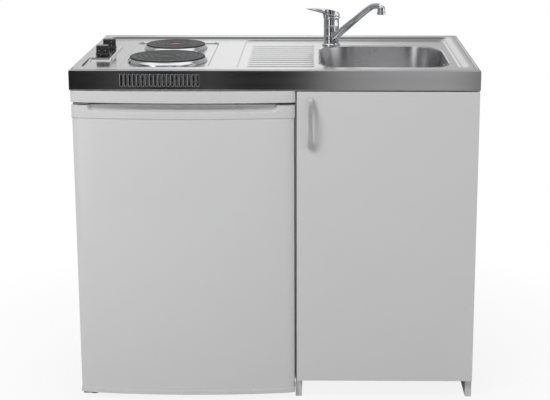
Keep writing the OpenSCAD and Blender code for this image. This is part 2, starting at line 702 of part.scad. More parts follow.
// hollow cap with its blade; a forked boss inside straddles the spindle's tongue
module lever() color(chrome) at_lever() {
  difference() {
    intersection() {
      translate([0, tap_r + 4, 0]) rotate([90, 0, 0]) linear_extrude(2 * tap_r + 8) lever_profile();
      union() {
        rod_z(cap_lo, cap_lo + 50, 0, 0, tap_r + 1.7, $fn = 64);
        translate([-lever_l, 0, cap_lo + 0.5]) linear_extrude(49) polygon([
          [-1, -6], [1, -8], [lever_l * 0.4, -10], [lever_l - tap_r - 2, -14], [lever_l - 12, -14],
          [lever_l - 12, 14], [lever_l - tap_r - 2, 14], [lever_l * 0.4, 10], [1, 8], [-1, 6]]);
      }
    }
    rod_z(cap_lo, cap_lo + 8, 0, 0, tap_r + 0.6);
  }
  difference() {
    block(-7, -6.5, lift_z - 5, 7, 6.5, cap_lo + 8 + e);
    block(-8, -tongue_w / 2 - fit, lift_z - 6, 8, tongue_w / 2 + fit, lift_z + 7.5);
    rod_y(-8, 8, 0, lift_z, lift_pin_r + run);
  }
}

module tap_shank() color(brass_tint) at_tap() {
  z0 = z_sink - sheet_t;
  difference() {
    rod_z(z0 - 52, z_sink - e, 0, 0, 16);
    rod_z(z0 - 60, z_sink + 1, 0, 0, 12.5);
  }
  difference() {
    rod_z(z0 - 4, z0 - fit, 0, 0, 23);
    rod_z(z0 - 5, z0 + 1, 0, 0, 16 - e);
  }
  difference() {
    translate([0, 0, z0 - 14]) cylinder(r = 24, h = 9.9, $fn = 6);
    rod_z(z0 - 15, z0 + 1, 0, 0, 16 - e);
  }
}

tail_r = 5;
tail_z0 = z_sink - 360;

// copper tails: straight out of the shank, cranked apart, then straight down
module tap_tails() color([0.75, 0.46, 0.32]) at_tap() for (s = [-1, 1]) {
  drop = [[s * 6, z_sink], [s * 6, z_sink - 60], [s * 22, z_sink - 110], [s * 22, tail_z0]];
  for (i = [0 : 2]) {
    d = drop[i + 1] - drop[i];
    translate([drop[i][0], 0, drop[i][1]]) rotate([0, atan2(d[0], d[1]), 0])
      cylinder(r = tail_r, h = norm(d));
    if (i > 0) translate([drop[i][0], 0, drop[i][1]]) sphere(r = tail_r + 0.4);
  }
}

// ---- sink cabinet ----

// side board, with two rows of shelf-pin holes in its inner face
module side_panel(x0) color(board_white) difference() {
  inner = x0 == cab_x0 ? x0 + board_t : x0;
  depth = x0 == cab_x0 ? -9 : 9;
  block(x0, side_y0, 0, x0 + board_t, side_y0 + side_d, z_apron);
  for (z = [160 : 32 : z_apron - 120], y = [side_y0 + 37, side_y0 + side_d - 60])
    rod_x(min(inner, inner + depth) - e, max(inner, inner + depth) + e, y, z, 2.5, $fn = 16);
}
module side_left() side_panel(cab_x0);
module side_right() side_panel(x_right - board_t);

in_cab_x0 = cab_x0 + board_t;
in_cab_x1 = x_right - board_t;

module cabinet_floor() color(board_white)
  block(in_cab_x0, side_y0 + 1, plinth_h, in_cab_x1, side_y0 + side_d - 12, plinth_h + board_t);

module cabinet_rails() color(board_white) {
  block(in_cab_x0, side_y0, z_apron - 60, in_cab_x1, side_y0 + board_t, z_apron);
  block(in_cab_x0, side_y0 + side_d - board_t, z_apron - 120, in_cab_x1, side_y0 + side_d, z_apron);
}

module cabinet_back() color(board_white) difference() {
  y1 = side_y0 + side_d - 9 + fit;
  block(in_cab_x0, y1 - 3, plinth_h, in_cab_x1, y1, z_apron - 120 - fit);
  translate([bowl_cx, side_y0 + side_d - 20, outlet_z]) rotate([-90, 0, 0]) linear_extrude(20)
    pad([-70, -60, 70, 60], 20);
}

module cabinet_door() color(white) difference() {
  block(door_x0, door_y0, door_z0, door_x1, door_y0 + door_t, door_z1);
  for (z = cup_zs) rod_y(door_y0 + door_t - cup_depth - 1, door_y0 + door_t + 1, cup_x, z, cup_r);
  for (s = [-1, 1]) {
    z = handle_z + s * handle_span / 2;
    rod_y(door_y0 - 1, door_y0 + door_t + 1, handle_x, z, 2.6);
    rod_y(door_y0 + door_t - screw_sink, door_y0 + door_t + 1, handle_x, z, 4.6);
  }
}

screw_sink = 1.5;    // the handle screws' heads sit this deep in the door's back
handle_x = cab_x0 + 37;
handle_z = door_z1 - 78;
handle_span = handle_l - 34;

// how far forward the bow handle's front lies, t running from 0 at its lower end to 1 at its upper end
function handle_y(t) = door_y0 - 4 - (handle_out - 5) * pow(sin(180 * t), 0.5);

// bow handle: a flat bow, waisted in the middle, on two round feet
module bow_handle() color(zinc) {
  y1 = door_y0;
  steps = 14;
  half = handle_l / 2;
  outer = [for (i = [0 : steps]) let (t = i / steps) [handle_y(t) - 1, -half + handle_l * t]];
  inner = [for (i = [steps : -1 : 0]) let (t = i / steps)
    [handle_y(t) + 4, -half + 5 + (handle_l - 10) * t]];
  intersection() {
    translate([handle_x - 8, 0, handle_z]) rotate([90, 0, 90])
      linear_extrude(16) polygon(concat(outer, inner));
    translate([handle_x, y1 + 1, handle_z]) rotate([90, 0, 0]) linear_extrude(handle_out + 12) polygon([
      [-5, -half], [5, -half], [6.6, -half + 10], [5.4, 0], [6.6, half - 10], [5, half], [-5, half],
      [-6.6, half - 10], [-5.4, 0], [-6.6, -half + 10]]);
  }
  for (s = [-1, 1]) difference() {
    rod_y(y1 - 16, y1, handle_x, handle_z + s * handle_span / 2, 4.5);
    rod_y(y1 - 12, y1 + 1, handle_x, handle_z + s * handle_span / 2, 2 + run);
  }
}

module handle_screws() color(zinc) for (s = [-1, 1]) {
  z = handle_z + s * handle_span / 2;
  rod_y(door_y0 - 10, door_y0 + door_t - screw_sink + e, handle_x, z, 2);
  translate([handle_x, door_y0 + door_t - screw_sink, z]) rotate([-90, 0, 0])
    rotate_extrude() polygon([[0, 0], [4.2, 0], [4, 1.4], [2.6, 2.4], [0, 2.6]]);
}

// concealed hinge cups: pressed cup sunk in the door, and its flange with two screws
module hinge_cups() color(zinc) for (z = cup_zs) translate([cup_x, door_y0 + door_t, z]) rotate([-90, 0, 0])
difference() {
  union() {
    translate([0, 0, -cup_depth]) cylinder(r = cup_r, h = cup_depth);
    linear_extrude(1) {
      translate([-6, 0]) pad([-8, -31, 8, 31], 7.9);
      circle(cup_r + 1.5);
    }
  }
  translate([0, 0, -cup_depth + 1]) cylinder(r = cup_r - 1, h = cup_depth + 1);
}

// arms on the cabinet side: mounting plate with two screws, and a channel arm with an adjusting screw
module hinge_arms() color(zinc) for (z = cup_zs) {
  x1 = in_cab_x1;
  block(x1 - 2, side_y0 + 22, z - 25, x1, side_y0 + 50, z + 25);
  block(x1 - 9, side_y0 + 6, z - 6.5, x1 - 2 + e, side_y0 + 70, z + 6.5);
  for (s = [-1, 1]) rod_x(x1 - 4, x1 - 2, side_y0 + 37, z + s * 18, 4);
  difference() {
    block(x1 - 8, link_ay - 3, z - 8.5, x1 - 1, side_y0 + 30, z + 8.5);
    block(x1 - 12, link_ay - 5, z - 6.5, x1 + 1, side_y0 + 6, z + 6.5);
    rod_z(z - 10, z + 10, link_ax, link_ay, pivot_r + run);
  }
}

// link of each hinge: swings from the arm's pin into the cup
module hinge_links() color(zinc) for (z = cup_zs) translate([link_ax, link_ay, z]) {
  rod_z(-9.5, 9.5, 0, 0, pivot_r);
  rod_z(-6, 6, 0, 0, 2.6);
  rotate(link_a) block(0, -0.9, -6, link_l - 1, 0.9, 6);
  rotate(link_a) rod_z(-6, 6, link_l - 1.4, 0, 1.4);
}

// ---- refrigerator ----

// plan outline of a piece with the door's bowed front, at a given inset
function bow_y(x, w, bulge) = -bulge * (1 - pow(2 * (x - fr_cx) / w, 2));
module bowed(x0, x1, y1, bulge, inset) {
  steps = 24;
  polygon(concat(
    [for (i = [0 : steps]) let (x = x0 + (x1 - x0) * i / steps) [x, inset + bow_y(x, x1 - x0, bulge)
      + 5 * pow(abs(2 * (x - fr_cx) / (x1 - x0)), 40)]],
    [[x1, y1], [x0, y1]]));
}

// outer cabinet of painted sheet: open towards the liner, with a niche for the compressor
module fridge_body() color(white) difference() {
  block(fr_x0, fr_y0, fr_z0, fr_x1, fr_y1, fr_z1);
  difference() {
    block(fr_x0 + skin_t, fr_y0 + skin_t, fr_z0 + skin_t, fr_x1 - skin_t, fr_y1 - skin_t, fr_z1 - skin_t);
    block(fr_x0 + 12 - skin_t, niche_y - skin_t, 0, fr_x1 - 12 + skin_t, fr_y1 + 1, niche_z + skin_t);
  }
  block(fr_x0 + 12, niche_y, 0, fr_x1 - 12, fr_y1 + 1, niche_z);
  block(cav_x0, fr_y0 - 1, cav_z0, cav_x1, fr_y0 + 2, cav_z1);
}

// inner liner: thin moulded shell with shelf ledges on both side walls
module fridge_liner() color(white) {
  difference() {
    block(cav_x0, fr_y0 + 0.5, cav_z0, cav_x1, cav_y1, cav_z1);
    difference() {
      block(in_x0, fr_y0 - 1, in_z0, in_x1, in_y1, in_z1);
      block(cav_x0, hump_y - liner_t, cav_z0, cav_x1, cav_y1, hump_z + liner_t);
    }
    block(cav_x0 - 1, hump_y, cav_z0 - 1, cav_x1 + 1, cav_y1 + 1, hump_z);
  }
  for (z = [shelf_zs[1], shelf_zs[1] + 34, shelf_zs[1] + 68], x = [in_x0 - e, in_x1 - ledge + e])
    block(x, shelf_ys[1] + rail_d + fit, z - 7, x + ledge, in_y1 - 10, z - fit);
  for (x = [in_x0 - e, in_x1 - ledge + e])
    block(x, shelf_ys[0] + rail_d + fit, shelf_zs[0] - 7, x + ledge, in_y1, shelf_zs[0] - fit);
}

// top lid with the bowed front strip
module fridge_lid() color(white) {
  difference() {
    translate([0, 0, fridge_h - strip_h]) linear_extrude(strip_h)
      bowed(fr_x0 - 1, fr_x1 + 1, fr_y0 + 8, door_bulge - 3, 0);
    block(fr_x0 + 2, 14, fridge_h - strip_h - 1, fr_x1 - 2, fr_y0 + 5, fridge_h - 3);
    block(fr_x0 - 2, fr_y0 - fit, 0, fr_x1 + 2, fr_y0 + 9, fr_z1);
  }
  for (i = [1 : 5]) translate([fr_x0 + fr_w * i / 6, 0, fridge_h])
    block(-1, 10, 3 - strip_h, 1, fr_y0 - fit, -2);
  block(fr_x0, fr_y0, fr_z1, fr_x1, fr_y1, fridge_h);
}

// screw feet: one in front on the right and two behind; the lower hinge carries the fourth
module fridge_feet() color(black)
for (p = [[fr_x1 - 50, fr_y0 + 30], [fr_x0 + 40, fr_y1 - 30], [fr_x1 - 40, fr_y1 - 30]])
  translate([p[0], p[1], 0]) {
    rotate_extrude() polygon([[0, 0], [17, 0], [18, 2], [18, 8], [10, 12], [8, 14], [0, 14]]);
    cylinder(r = 5, h = fr_z0);
  }

// bracket with the door's upper pin, screwed to the body's top edge under the lid strip
module upper_hinge() color(zinc) {
  z0 = fdoor_z1 + 2;
  block(pin_x - 9, pin_y - 9, z0, pin_x + 30, fr_y0 - fit, z0 + bracket_t);
  block(pin_x - 9, fr_y0 - bracket_t - fit, z0, pin_x + 60, fr_y0 - fit, z0 + 12);
  rod_z(fdoor_z1 - 14, z0 + bracket_t, pin_x, pin_y, pin_r);
  rod_z(fdoor_z1 + fit, z0 + e, pin_x, pin_y, 8);
}

// lower bracket with the door's lower pin and the front foot under it
module lower_hinge() color(black) {
  z0 = fdoor_low - 2.3 - bracket_t;
  translate([0, 0, z0]) linear_extrude(bracket_t) polygon([
    [pin_x - 9, pin_y - 8], [pin_x + 12, pin_y - 8], [pin_x + 40, 40], [pin_x + 60, fr_y0 + 40],
    [pin_x - 9, fr_y0 + 40]]);
  block(pin_x - 9, fr_y0 + 14, z0, pin_x + 60, fr_y0 + 40, fr_z0);
  rod_z(z0, fdoor_low + foot_trim_h - 0.5, pin_x, pin_y, pin_r);
  rod_z(z0 + bracket_t - e, fdoor_low - fit, pin_x, pin_y, 8);
  hinge_foot(pin_x + 14, 42, z0);
}
module hinge_foot(x, y, h) translate([x, y, 0]) {
  rotate_extrude() polygon([[0, 0], [12, 0], [13, 2], [13, 6], [7, 9], [0, 9]]);
  cylinder(r = 4, h = h + e);
}

// hermetic compressor on its base plate in the rear niche
comp_x = fr_cx + 60;
comp_y = niche_y + 76;
comp_h = 115;        // height of the compressor's shell above its foot plate
comp_z = fr_z0 + 13; // top of that foot plate
module compressor() color(black) {
  x = comp_x;
  y = comp_y;
  z0 = comp_z - 5;
  difference() {
    block(fr_x0 + 12, niche_y + 8, fr_z0, fr_x1 - 12, fr_y1 - 2, fr_z0 + 2);
    for (s = [-1, 1]) rod_z(0, 60, fr_cx + s * 200, y, 4);
  }
  for (sx = [-1, 1], sy = [-1, 1]) rod_z(fr_z0 + 2 - e, z0 + 4, x + sx * 62, y + sy * 38, 9);
  block(x - 74, y - 48, z0 + 2, x + 74, y + 48, z0 + 5);
  translate([x, y, comp_z - e]) rotate_extrude($fn = 48) polygon([
    [0, 0], [50, 0], [56, 10], [57, 50], [60, 52], [60, 58], [57, 60], [55, comp_h - 31], [42, comp_h - 11],
    [20, comp_h - 2], [16, comp_h + e], [0, comp_h + e]]);
  block(x - 84, y - 20, z0 + 22, x - 52, y + 20, z0 + 72);
}

// wire-on-tube condenser: a flat coil of tube with upright wires, held off the back by two brackets
module condenser() color(black) {
  y = fr_y1 + 24;
  r = 2.6;
  x0 = fr_x0 + 50;
  x1 = fr_x1 - 50;
  pitch = (fr_z1 - niche_z - 154) / 7;
  zs = [for (i = [0 : 7]) niche_z + 38 + i * pitch];
  wires = 15;
  for (i = [0 : 7]) rod_x(x0, x1, y, zs[i], r, $fn = 16);
  for (i = [0 : 6]) translate([i % 2 == 0 ? x1 : x0, y, zs[i] + pitch / 2]) rotate([90, 0, 0])
    rotate([0, 0, i % 2 == 0 ? -90 : 90]) rotate_extrude(angle = 180, $fn = 24)
      translate([pitch / 2, 0]) circle(r, $fn = 16);
  for (i = [0 : wires]) translate([x0 + 12 + i * (x1 - x0 - 25) / wires, 0, 0])
    block(0, y + r - 0.4, zs[0] - 8, 1.6, y + r + 1.2, zs[7] + 10);
  for (s = [-1, 1], z = [zs[0] + 40, zs[6] + 8])
    block(fr_cx + s * 190 - 8, fr_y1, z, fr_cx + s * 190 + 8, y + r + 0.4, z + 14);
  // down into the niche to the compressor, and at the top into the back
  z1 = comp_z + comp_h - 40;
  rod_z(z1, zs[0], x0, y, r, $fn = 16);
  rod_y(comp_y, y, x0, z1, r, $fn = 16);
  rod_x(x0, comp_x - 56, comp_y, z1, r, $fn = 16);
  rod_y(fr_y1, y, x0, zs[7], r, $fn = 16);
  for (p = [[x0, y, zs[0]], [x0, y, z1], [x0, comp_y, z1], [x0, y, zs[7]]])
    translate(p) sphere(r + 0.3, $fn = 16);
}

// evaporates the defrost water on the warm compressor
module drip_tray() color(grey_plastic) translate([comp_x, comp_y, comp_z + comp_h]) difference() {
  block(-78, -58, 0, 78, 58, 26);
  block(-76, -56, 2, 76, 56, 27);
}

// ---- inside the refrigerator ----

ice_y0 = fr_y0 + 62;

module ice_box() color(white) difference() {
  block(in_x0 + fit, ice_y0, ice_z0, in_x1 - fit, in_y1 - 4, in_z1 - fit);
  block(in_x0 + 4, ice_y0 - 1, ice_z0 + 3, in_x1 - 4, in_y1 - 7, in_z1 - 4);
}

module ice_flap() color([0.80, 0.88, 0.92]) {
  y1 = ice_y0 - fit;
  difference() {
    block(in_x0 + 6, y1 - 8, ice_z0 + 2, in_x1 - 6, y1, in_z1 - 8);
    block(in_x0 + 12, y1 - 9, ice_z0 + 8, in_x1 - 12, y1 - 5, in_z1 - 14);
  }
  block(fr_cx - 40, y1 - 12, ice_z0 + 20, fr_cx + 40, y1 - 5 + e, ice_z0 + 26);
}

// two glass plates with a front and a back rail
module glass_shelves() color(clear_blue) for (i = [0, 1]) {
  z = shelf_zs[i];
  y0 = shelf_ys[i];
  block(in_x0 + 1, y0 + 6, z, in_x1 - 1, in_y1 - 6, z + glass_t);
  block(in_x0 + 1, y0, z - 2, in_x1 - 1, y0 + rail_d, z + glass_t + 3);
}

// drawer tapering downwards, with a grip lip along its front
module crisper() color(clear_blue) {
  x0 = in_x0 + 14;
  x1 = in_x1 - 14;
  y0 = fr_y0 + 64;
  y1 = hump_y - liner_t - 8;
  z0 = in_z0 + fit;
  z1 = shelf_zs[0] - 14;
  difference() {
    pocket([x0, y0, x1, y1], [x0 + 14, y0 + 8, x1 - 14, y1 - 8], 10, 14, z1, z0);
    pocket([x0 + 2, y0 + 2, x1 - 2, y1 - 2], [x0 + 16, y0 + 10, x1 - 16, y1 - 10], 8, 12, z1 + 1, z0 + 2);
  }
  block(x0 + 100, y0 - 10, z1 - 12, x1 - 100, y0 + 2, z1 - 9);
}

module thermostat_box() color(white) difference() {
  x0 = in_x1 - stat_w;
  block(x0, stat_y, stat_z, in_x1 - fit, stat_y + 130, stat_z + 58);
  for (i = [0 : 5]) translate([0, stat_y + 66 + i * 9, stat_z]) block(x0 - 1, 0, 8, x0 + 2, 5, 50);
  rod_x(x0 - 1, x0 + 12, stat_y + 32, stat_z + 29, shaft_r + run);
}

module thermostat_knob() color(grey_plastic) {
  x1 = in_x1 - stat_w - fit;
  difference() {
    union() {
      rod_x(x1 - 3, x1, stat_y + 32, stat_z + 29, 19);
      rod_x(x1 - 12, x1 - 3 + e, stat_y + 32, stat_z + 29, 14);
    }
    for (i = [0 : 11]) translate([x1 - 13, stat_y + 32, stat_z + 29]) rotate([i * 30, 0, 0])
      translate([0, 0, 14.6]) rotate([0, 90, 0]) cylinder(r = 1.6, h = 9.5, $fn = 16);
  }
  rod_x(x1 - 1, x1 + fit + 10, stat_y + 32, stat_z + 29, shaft_r);
}

// ---- refrigerator door ----

skin_z0 = fdoor_low + foot_trim_h;
skin_z1 = trim_lo;

// painted bowed panel, folded back along both sides
module fdoor_skin() color(white) translate([0, 0, skin_z0]) difference() {
  linear_extrude(skin_z1 - skin_z0)
    bowed(fr_x0 + skin_in, fr_x1 - skin_in, fdoor_y1 - 3, door_bulge, skin_in);
  translate([0, 0, -1]) linear_extrude(skin_z1 - skin_z0 + 2)
    bowed(fr_x0 + skin_in + skin_t, fr_x1 - skin_in - skin_t, fdoor_y1, door_bulge, skin_in + skin_t);
}

// grip recess seen from the front: a long scoop with round lower corners, open at the top
module grip_outline() {
  translate([-grip_l / 2 + 10, -16]) square([grip_l - 20, 40]);
  translate([-grip_l / 2, -6]) square([grip_l, 30]);
  for (s = [-1, 1]) translate([s * (grip_l / 2 - 10), -6]) circle(10);
}

module fdoor_top_trim() color(white) difference() {
  translate([0, 0, trim_lo]) linear_extrude(trim_h) bowed(fr_x0, fr_x1, fdoor_y1 - 3, door_bulge, 0);
  translate([fr_cx, 12, fdoor_z1]) rotate([90, 0, 0]) linear_extrude(50) grip_outline();
  rod_z(fdoor_z1 - 20, fdoor_z1 + 1, pin_x, pin_y, pin_r + run);
  block(fr_x1 - 2, 8, fdoor_z1 - 20, fr_x1 + 1, 14, fdoor_z1 - 12);
}

module fdoor_bottom_trim() color(white) difference() {
  translate([0, 0, fdoor_low]) linear_extrude(foot_trim_h) bowed(fr_x0, fr_x1, fdoor_y1 - 3, door_bulge, 0);
  rod_z(fdoor_low - 1, fdoor_low + foot_trim_h + 1, pin_x, pin_y, pin_r + run);
}

// white inner liner of the door: a tray with a dyke on each side and along the bottom and top
module fdoor_liner() color(white) {
  y0 = fdoor_y1 - 3;
  z0 = in_z0 + dyke_inset;
  z1 = in_z1 - dyke_inset;
  block(fr_x0 + 4, y0, fdoor_low + 2, fr_x1 - 4, fdoor_y1, fdoor_z1 - 2);
  for (x = [dyke_x0, dyke_x1 - 24]) difference() {
    block(x, y0, z0, x + 24, dyke_y1, z1);
    block(x + 3, y0 - 1, z0 + 3, x + 21, dyke_y1 - 3, z1 - 3);
  }
  for (z = [z0, z1 - bar_h]) block(dyke_x0 + 24 - e, y0, z, dyke_x1 - 24 + e, fdoor_y1 + 16, z + bar_h);
}

module fdoor_gasket() color([0.80, 0.80, 0.80]) translate([0, fr_y0 - fit, 0]) rotate([90, 0, 0])
  linear_extrude(gasket_t - fit) difference() {
    pad([pin_x + 2, cav_z0 - 26, fr_x1 - 12, cav_z1 + 24], 6);
    pad([pin_x + 18, cav_z0 - 10, fr_x1 - 28, cav_z1 + 10], 3);
  }

dyke_inset = 10;     // the dykes end this far from the cavity's floor and roof
bar_h = 16;          // height of the bars that join the dykes
in_h = in_z1 - in_z0;
rack_zs = [in_z0 + dyke_inset + bar_h + fit, in_z0 + in_h * 0.458, in_z0 + in_h * 0.733];

// bottle rack and two egg racks between the dykes
module door_racks() color(clear_blue) for (i = [0 : 2]) {
  z = rack_zs[i];
  h = i == 0 ? 70 : 46;
  x0 = dyke_x0 + 24 + fit;
  x1 = dyke_x1 - 24 - fit;
  y0 = fdoor_y1 + fit;
  y1 = i == 0 ? fr_y0 + 44 : fr_y0 + 36;
  difference() {
    block(x0, y0, z, x1, y1, z + h);
    block(x0 + 2.5, y0 + 2.5, z + 2.5, x1 - 2.5, y1 - 2.5, z + h + 1);
    if (i == 0) for (k = [0 : floor((x1 - x0 - 40) / 34)])
      block(x0 + 20 + k * 34, y1 - 4, z + 16, x0 + 40 + k * 34, y1 + 1, z + h - 14);
  }
}

// ---- assembly ----

module placed() translate([0, -y_origin, 0]) children();

placed() worktop();
placed() sink_bowl();
placed() carrier_battens();
placed() waste_flange();
placed() strainer();
placed() waste_body();
placed() bottle_trap();
placed() outlet_pipe();
placed() overflow_rosette();
placed() overflow_pipe();
placed() hob_tray();
placed() front_hotplate();
placed() rear_hotplate();
placed() front_spill_ring();
placed() rear_spill_ring();
placed() red_spot();
placed() plate_clamps();
placed() terminal_box();
placed() hob_switches();
placed() front_knob();
placed() rear_knob();
placed() tap_body();
placed() tap_shank();
placed() tap_tails();
placed() spout();
placed() aerator();
placed() spindle();
placed() lever();
placed() side_left();
placed() side_right();
placed() cabinet_floor();
placed() cabinet_rails();
placed() cabinet_back();
placed() cabinet_door();
placed() bow_handle();
placed() handle_screws();
placed() hinge_cups();
placed() hinge_arms();
placed() hinge_links();
placed() fridge_body();
placed() fridge_liner();
placed() fridge_lid();
placed() fridge_feet();
placed() upper_hinge();
placed() lower_hinge();
placed() compressor();
placed() condenser();
placed() drip_tray();
placed() ice_box();
placed() ice_flap();
placed() glass_shelves();
placed() crisper();
placed() thermostat_box();
placed() thermostat_knob();
placed() fdoor_skin();
placed() fdoor_liner();
placed() fdoor_top_trim();
placed() fdoor_bottom_trim();
placed() fdoor_gasket();
placed() door_racks();
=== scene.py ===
# %% [markdown]
# # A kitchenette unit, one step at a time
# The real object is a metre-wide unit: a pressed steel worktop with two cast hotplates, a drainer
# and a bowl, lying on a sink cabinet and on a small refrigerator. The imported CAD part gives every
# size and every joint. This lesson gives it the surfaces and finishes that the photograph shows.
# The worktop's CAD box is measured before anything is added, and the new pieces count their millimetres back
# from its front edge.

# %% Load the imported part
import json
import math

import bmesh
import bpy
import numpy as np
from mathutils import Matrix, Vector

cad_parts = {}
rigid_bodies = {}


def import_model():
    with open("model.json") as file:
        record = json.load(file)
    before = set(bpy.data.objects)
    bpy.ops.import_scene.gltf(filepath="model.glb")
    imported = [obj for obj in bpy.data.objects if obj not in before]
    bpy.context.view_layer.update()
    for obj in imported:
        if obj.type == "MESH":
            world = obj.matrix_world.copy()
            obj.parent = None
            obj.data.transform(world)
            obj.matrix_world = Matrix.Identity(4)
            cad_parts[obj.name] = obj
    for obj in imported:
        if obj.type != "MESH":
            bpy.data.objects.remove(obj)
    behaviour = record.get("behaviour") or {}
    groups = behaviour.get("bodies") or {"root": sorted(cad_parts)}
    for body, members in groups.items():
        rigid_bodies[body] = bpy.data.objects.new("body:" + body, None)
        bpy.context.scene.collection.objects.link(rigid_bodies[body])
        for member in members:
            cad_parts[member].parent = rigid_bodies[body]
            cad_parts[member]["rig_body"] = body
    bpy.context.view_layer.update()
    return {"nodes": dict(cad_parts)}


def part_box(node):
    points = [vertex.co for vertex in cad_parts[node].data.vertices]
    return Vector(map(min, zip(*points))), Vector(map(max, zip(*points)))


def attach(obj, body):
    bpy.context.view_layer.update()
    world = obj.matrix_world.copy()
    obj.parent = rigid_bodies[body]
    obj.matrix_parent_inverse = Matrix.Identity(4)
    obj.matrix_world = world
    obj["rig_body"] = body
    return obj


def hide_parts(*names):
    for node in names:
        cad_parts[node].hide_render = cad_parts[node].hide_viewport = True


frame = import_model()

front_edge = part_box("worktop")[0].y

# %% [markdown]
# ## Where the camera stands
# The place was solved from straight edges of the unit: worktop corners, door edges and feet. The
# photograph keeps its uprights nearly parallel, as a view camera with a raised back does, and needs
# a shift of -0.44 for it. Every other view keeps the shift and would cut the unit off, so it is
# -0.1. The camera looks down instead, and the uprights close in more than in the photograph.

# %% Camera
MM = 0.001


def to_frame(points):
    """Millimetres (across, back from the worktop's front edge, up) to metres in the row frame."""
    return np.asarray(points, float) * MM + [0, front_edge, 0]


SENSOR = 36.0
FOCAL_PIXELS, IMAGE_WIDTH = 1352.9, 550
camera = bpy.data.objects.new("photo_camera", bpy.data.cameras.new("photo_camera"))
camera.data.sensor_width = SENSOR
camera.data.lens = FOCAL_PIXELS / IMAGE_WIDTH * SENSOR
camera.data.shift_x, camera.data.shift_y = -0.0507, -0.1
camera.location = to_frame([102.0, -3230.0, 1394.6])
camera.rotation_euler = (math.pi / 2 - 0.2222, 0, 0.0103)
bpy.context.scene.collection.objects.link(camera)
bpy.context.scene.camera = camera
print("lens", round(camera.data.lens, 1), "mm")

# %% [markdown]
# ## A white studio
# Polished metal shows what stands round it. The world is white for the camera, for reflections and
# for what is seen through glass, and a soft grey for plain light. Where a reflection meets the dome
# of greys that is built near the end, it shows that instead.

# %% Node helpers and the world
def wire(tree, start, end):
    """Joins two sockets, each given as (node, socket name or number)."""
    tree.links.new(start[0].outputs[start[1]], end[0].inputs[end[1]])


def node(tree, kind, **values):
    """A new node of that kind. Words that are properties are set, and the rest name sockets."""
    made = tree.nodes.new(kind)
    for key, value in values.items():
        if hasattr(made, key):
            setattr(made, key, value)
        else:
            made.inputs[key.replace("_", " ")].default_value = value
    return made


WORLD_LIGHT = 0.34
world = bpy.data.worlds.new("white_room")
world.use_nodes = True
bpy.context.scene.world = world
tree = world.node_tree
tree.nodes.clear()
path = node(tree, "ShaderNodeLightPath")
seen = node(tree, "ShaderNodeMath", operation="MAXIMUM")
white = node(tree, "ShaderNodeMath", operation="MAXIMUM")
wire(tree, (path, "Is Camera Ray"), (seen, 0))
wire(tree, (path, "Is Glossy Ray"), (seen, 1))
wire(tree, (seen, 0), (white, 0))
wire(tree, (path, "Is Transmission Ray"), (white, 1))
soft = node(tree, "ShaderNodeBackground", Color=(1, 1, 1, 1), Strength=WORLD_LIGHT)
shown = node(tree, "ShaderNodeBackground", Color=(1, 1, 1, 1), Strength=1.0)
pick = node(tree, "ShaderNodeMixShader")
wire(tree, (white, 0), (pick, 0))
wire(tree, (soft, 0), (pick, 1))
wire(tree, (shown, 0), (pick, 2))
wire(tree, (pick, 0), (node(tree, "ShaderNodeOutputWorld"), 0))

bpy.context.scene.view_settings.view_transform = "Standard"

# %% [markdown]
# ## Surfaces from formulas
# Every new piece is a grid of points worked out by a formula, as a whole numpy array. Small
# helpers turn such grids into a mesh, weld the points that meet and put the piece on its body.

# %% From grids to pieces
def surface(grid, rows_closed=False, columns_closed=False):
    """Points and four-sided faces of a grid (rows, columns, 3). A closed side joins last line to first."""
    rows, columns = grid.shape[:2]
    i, j = np.meshgrid(
        np.arange(rows if rows_closed else rows - 1),
        np.arange(columns if columns_closed else columns - 1),
        indexing="ij",
    )
    i2, j2 = (i + 1) % rows, (j + 1) % columns
    faces = np.stack([i * columns + j, i * columns + j2, i2 * columns + j2, i2 * columns + j], -1)
    return grid.reshape(-1, 3), faces.reshape(-1, 4)


def mesh_of(name, surfaces, outward=True, sharp=35.0):
    """One mesh of several surfaces in plan millimetres, welded, with creases where it turns sharply."""
    counts = np.cumsum([0] + [len(points) for points, faces in surfaces])
    points = np.concatenate([points for points, faces in surfaces])
    faces = np.concatenate([f + start for (p, f), start in zip(surfaces, counts)])
    mesh = bpy.data.meshes.new(name)
    mesh.from_pydata(to_frame(points), [], faces.tolist())
    work = bmesh.new()
    work.from_mesh(mesh)
    bmesh.ops.remove_doubles(work, verts=work.verts, dist=4e-6)
    bmesh.ops.dissolve_degenerate(work, edges=work.edges, dist=1e-7)
    if outward:
        bmesh.ops.recalc_face_normals(work, faces=work.faces)
    work.to_mesh(mesh)
    work.free()
    return crease(mesh, sharp)


def crease(mesh, sharp):
    """Smooth shading, broken at edges that turn by more than that many degrees."""
    mesh.polygons.foreach_set("use_smooth", np.ones(len(mesh.polygons), bool))
    mesh.set_sharp_from_angle(angle=math.radians(sharp))
    return mesh


finishes = {}


def place(name, mesh, body, look, stands_for=()):
    """Shows a mesh as a piece that rides on a body, in that finish, and stands for those CAD nodes."""
    piece = bpy.data.objects.new(name, mesh)
    bpy.context.scene.collection.objects.link(piece)
    piece.data.materials.append(finishes[look])
    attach(piece, body)
    if stands_for:
        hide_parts(*stands_for)
    print(f"{name}: {len(mesh.polygons)} faces on {body}")
    return piece


def show(name, surfaces, body, slot, look, stands_for=(), **options):
    """Welds those surfaces into one mesh and places it as the piece of that name."""
    return place(name, mesh_of(name, surfaces, **options), body, look, stands_for)


def thicken(piece, thickness):
    """Gives an open sheet its thickness, inwards."""
    sheet = piece.modifiers.new("sheet", "SOLIDIFY")
    sheet.thickness, sheet.offset = thickness * MM, -1
    return piece


# %% [markdown]
# ## Profiles, turned pieces and rounded outlines
# Taps, plates, rings and knobs are turned on a lathe or cast to a round pattern. A profile of a
# few points is enough: each corner is eased by a short curve, as a tool's nose radius leaves it.

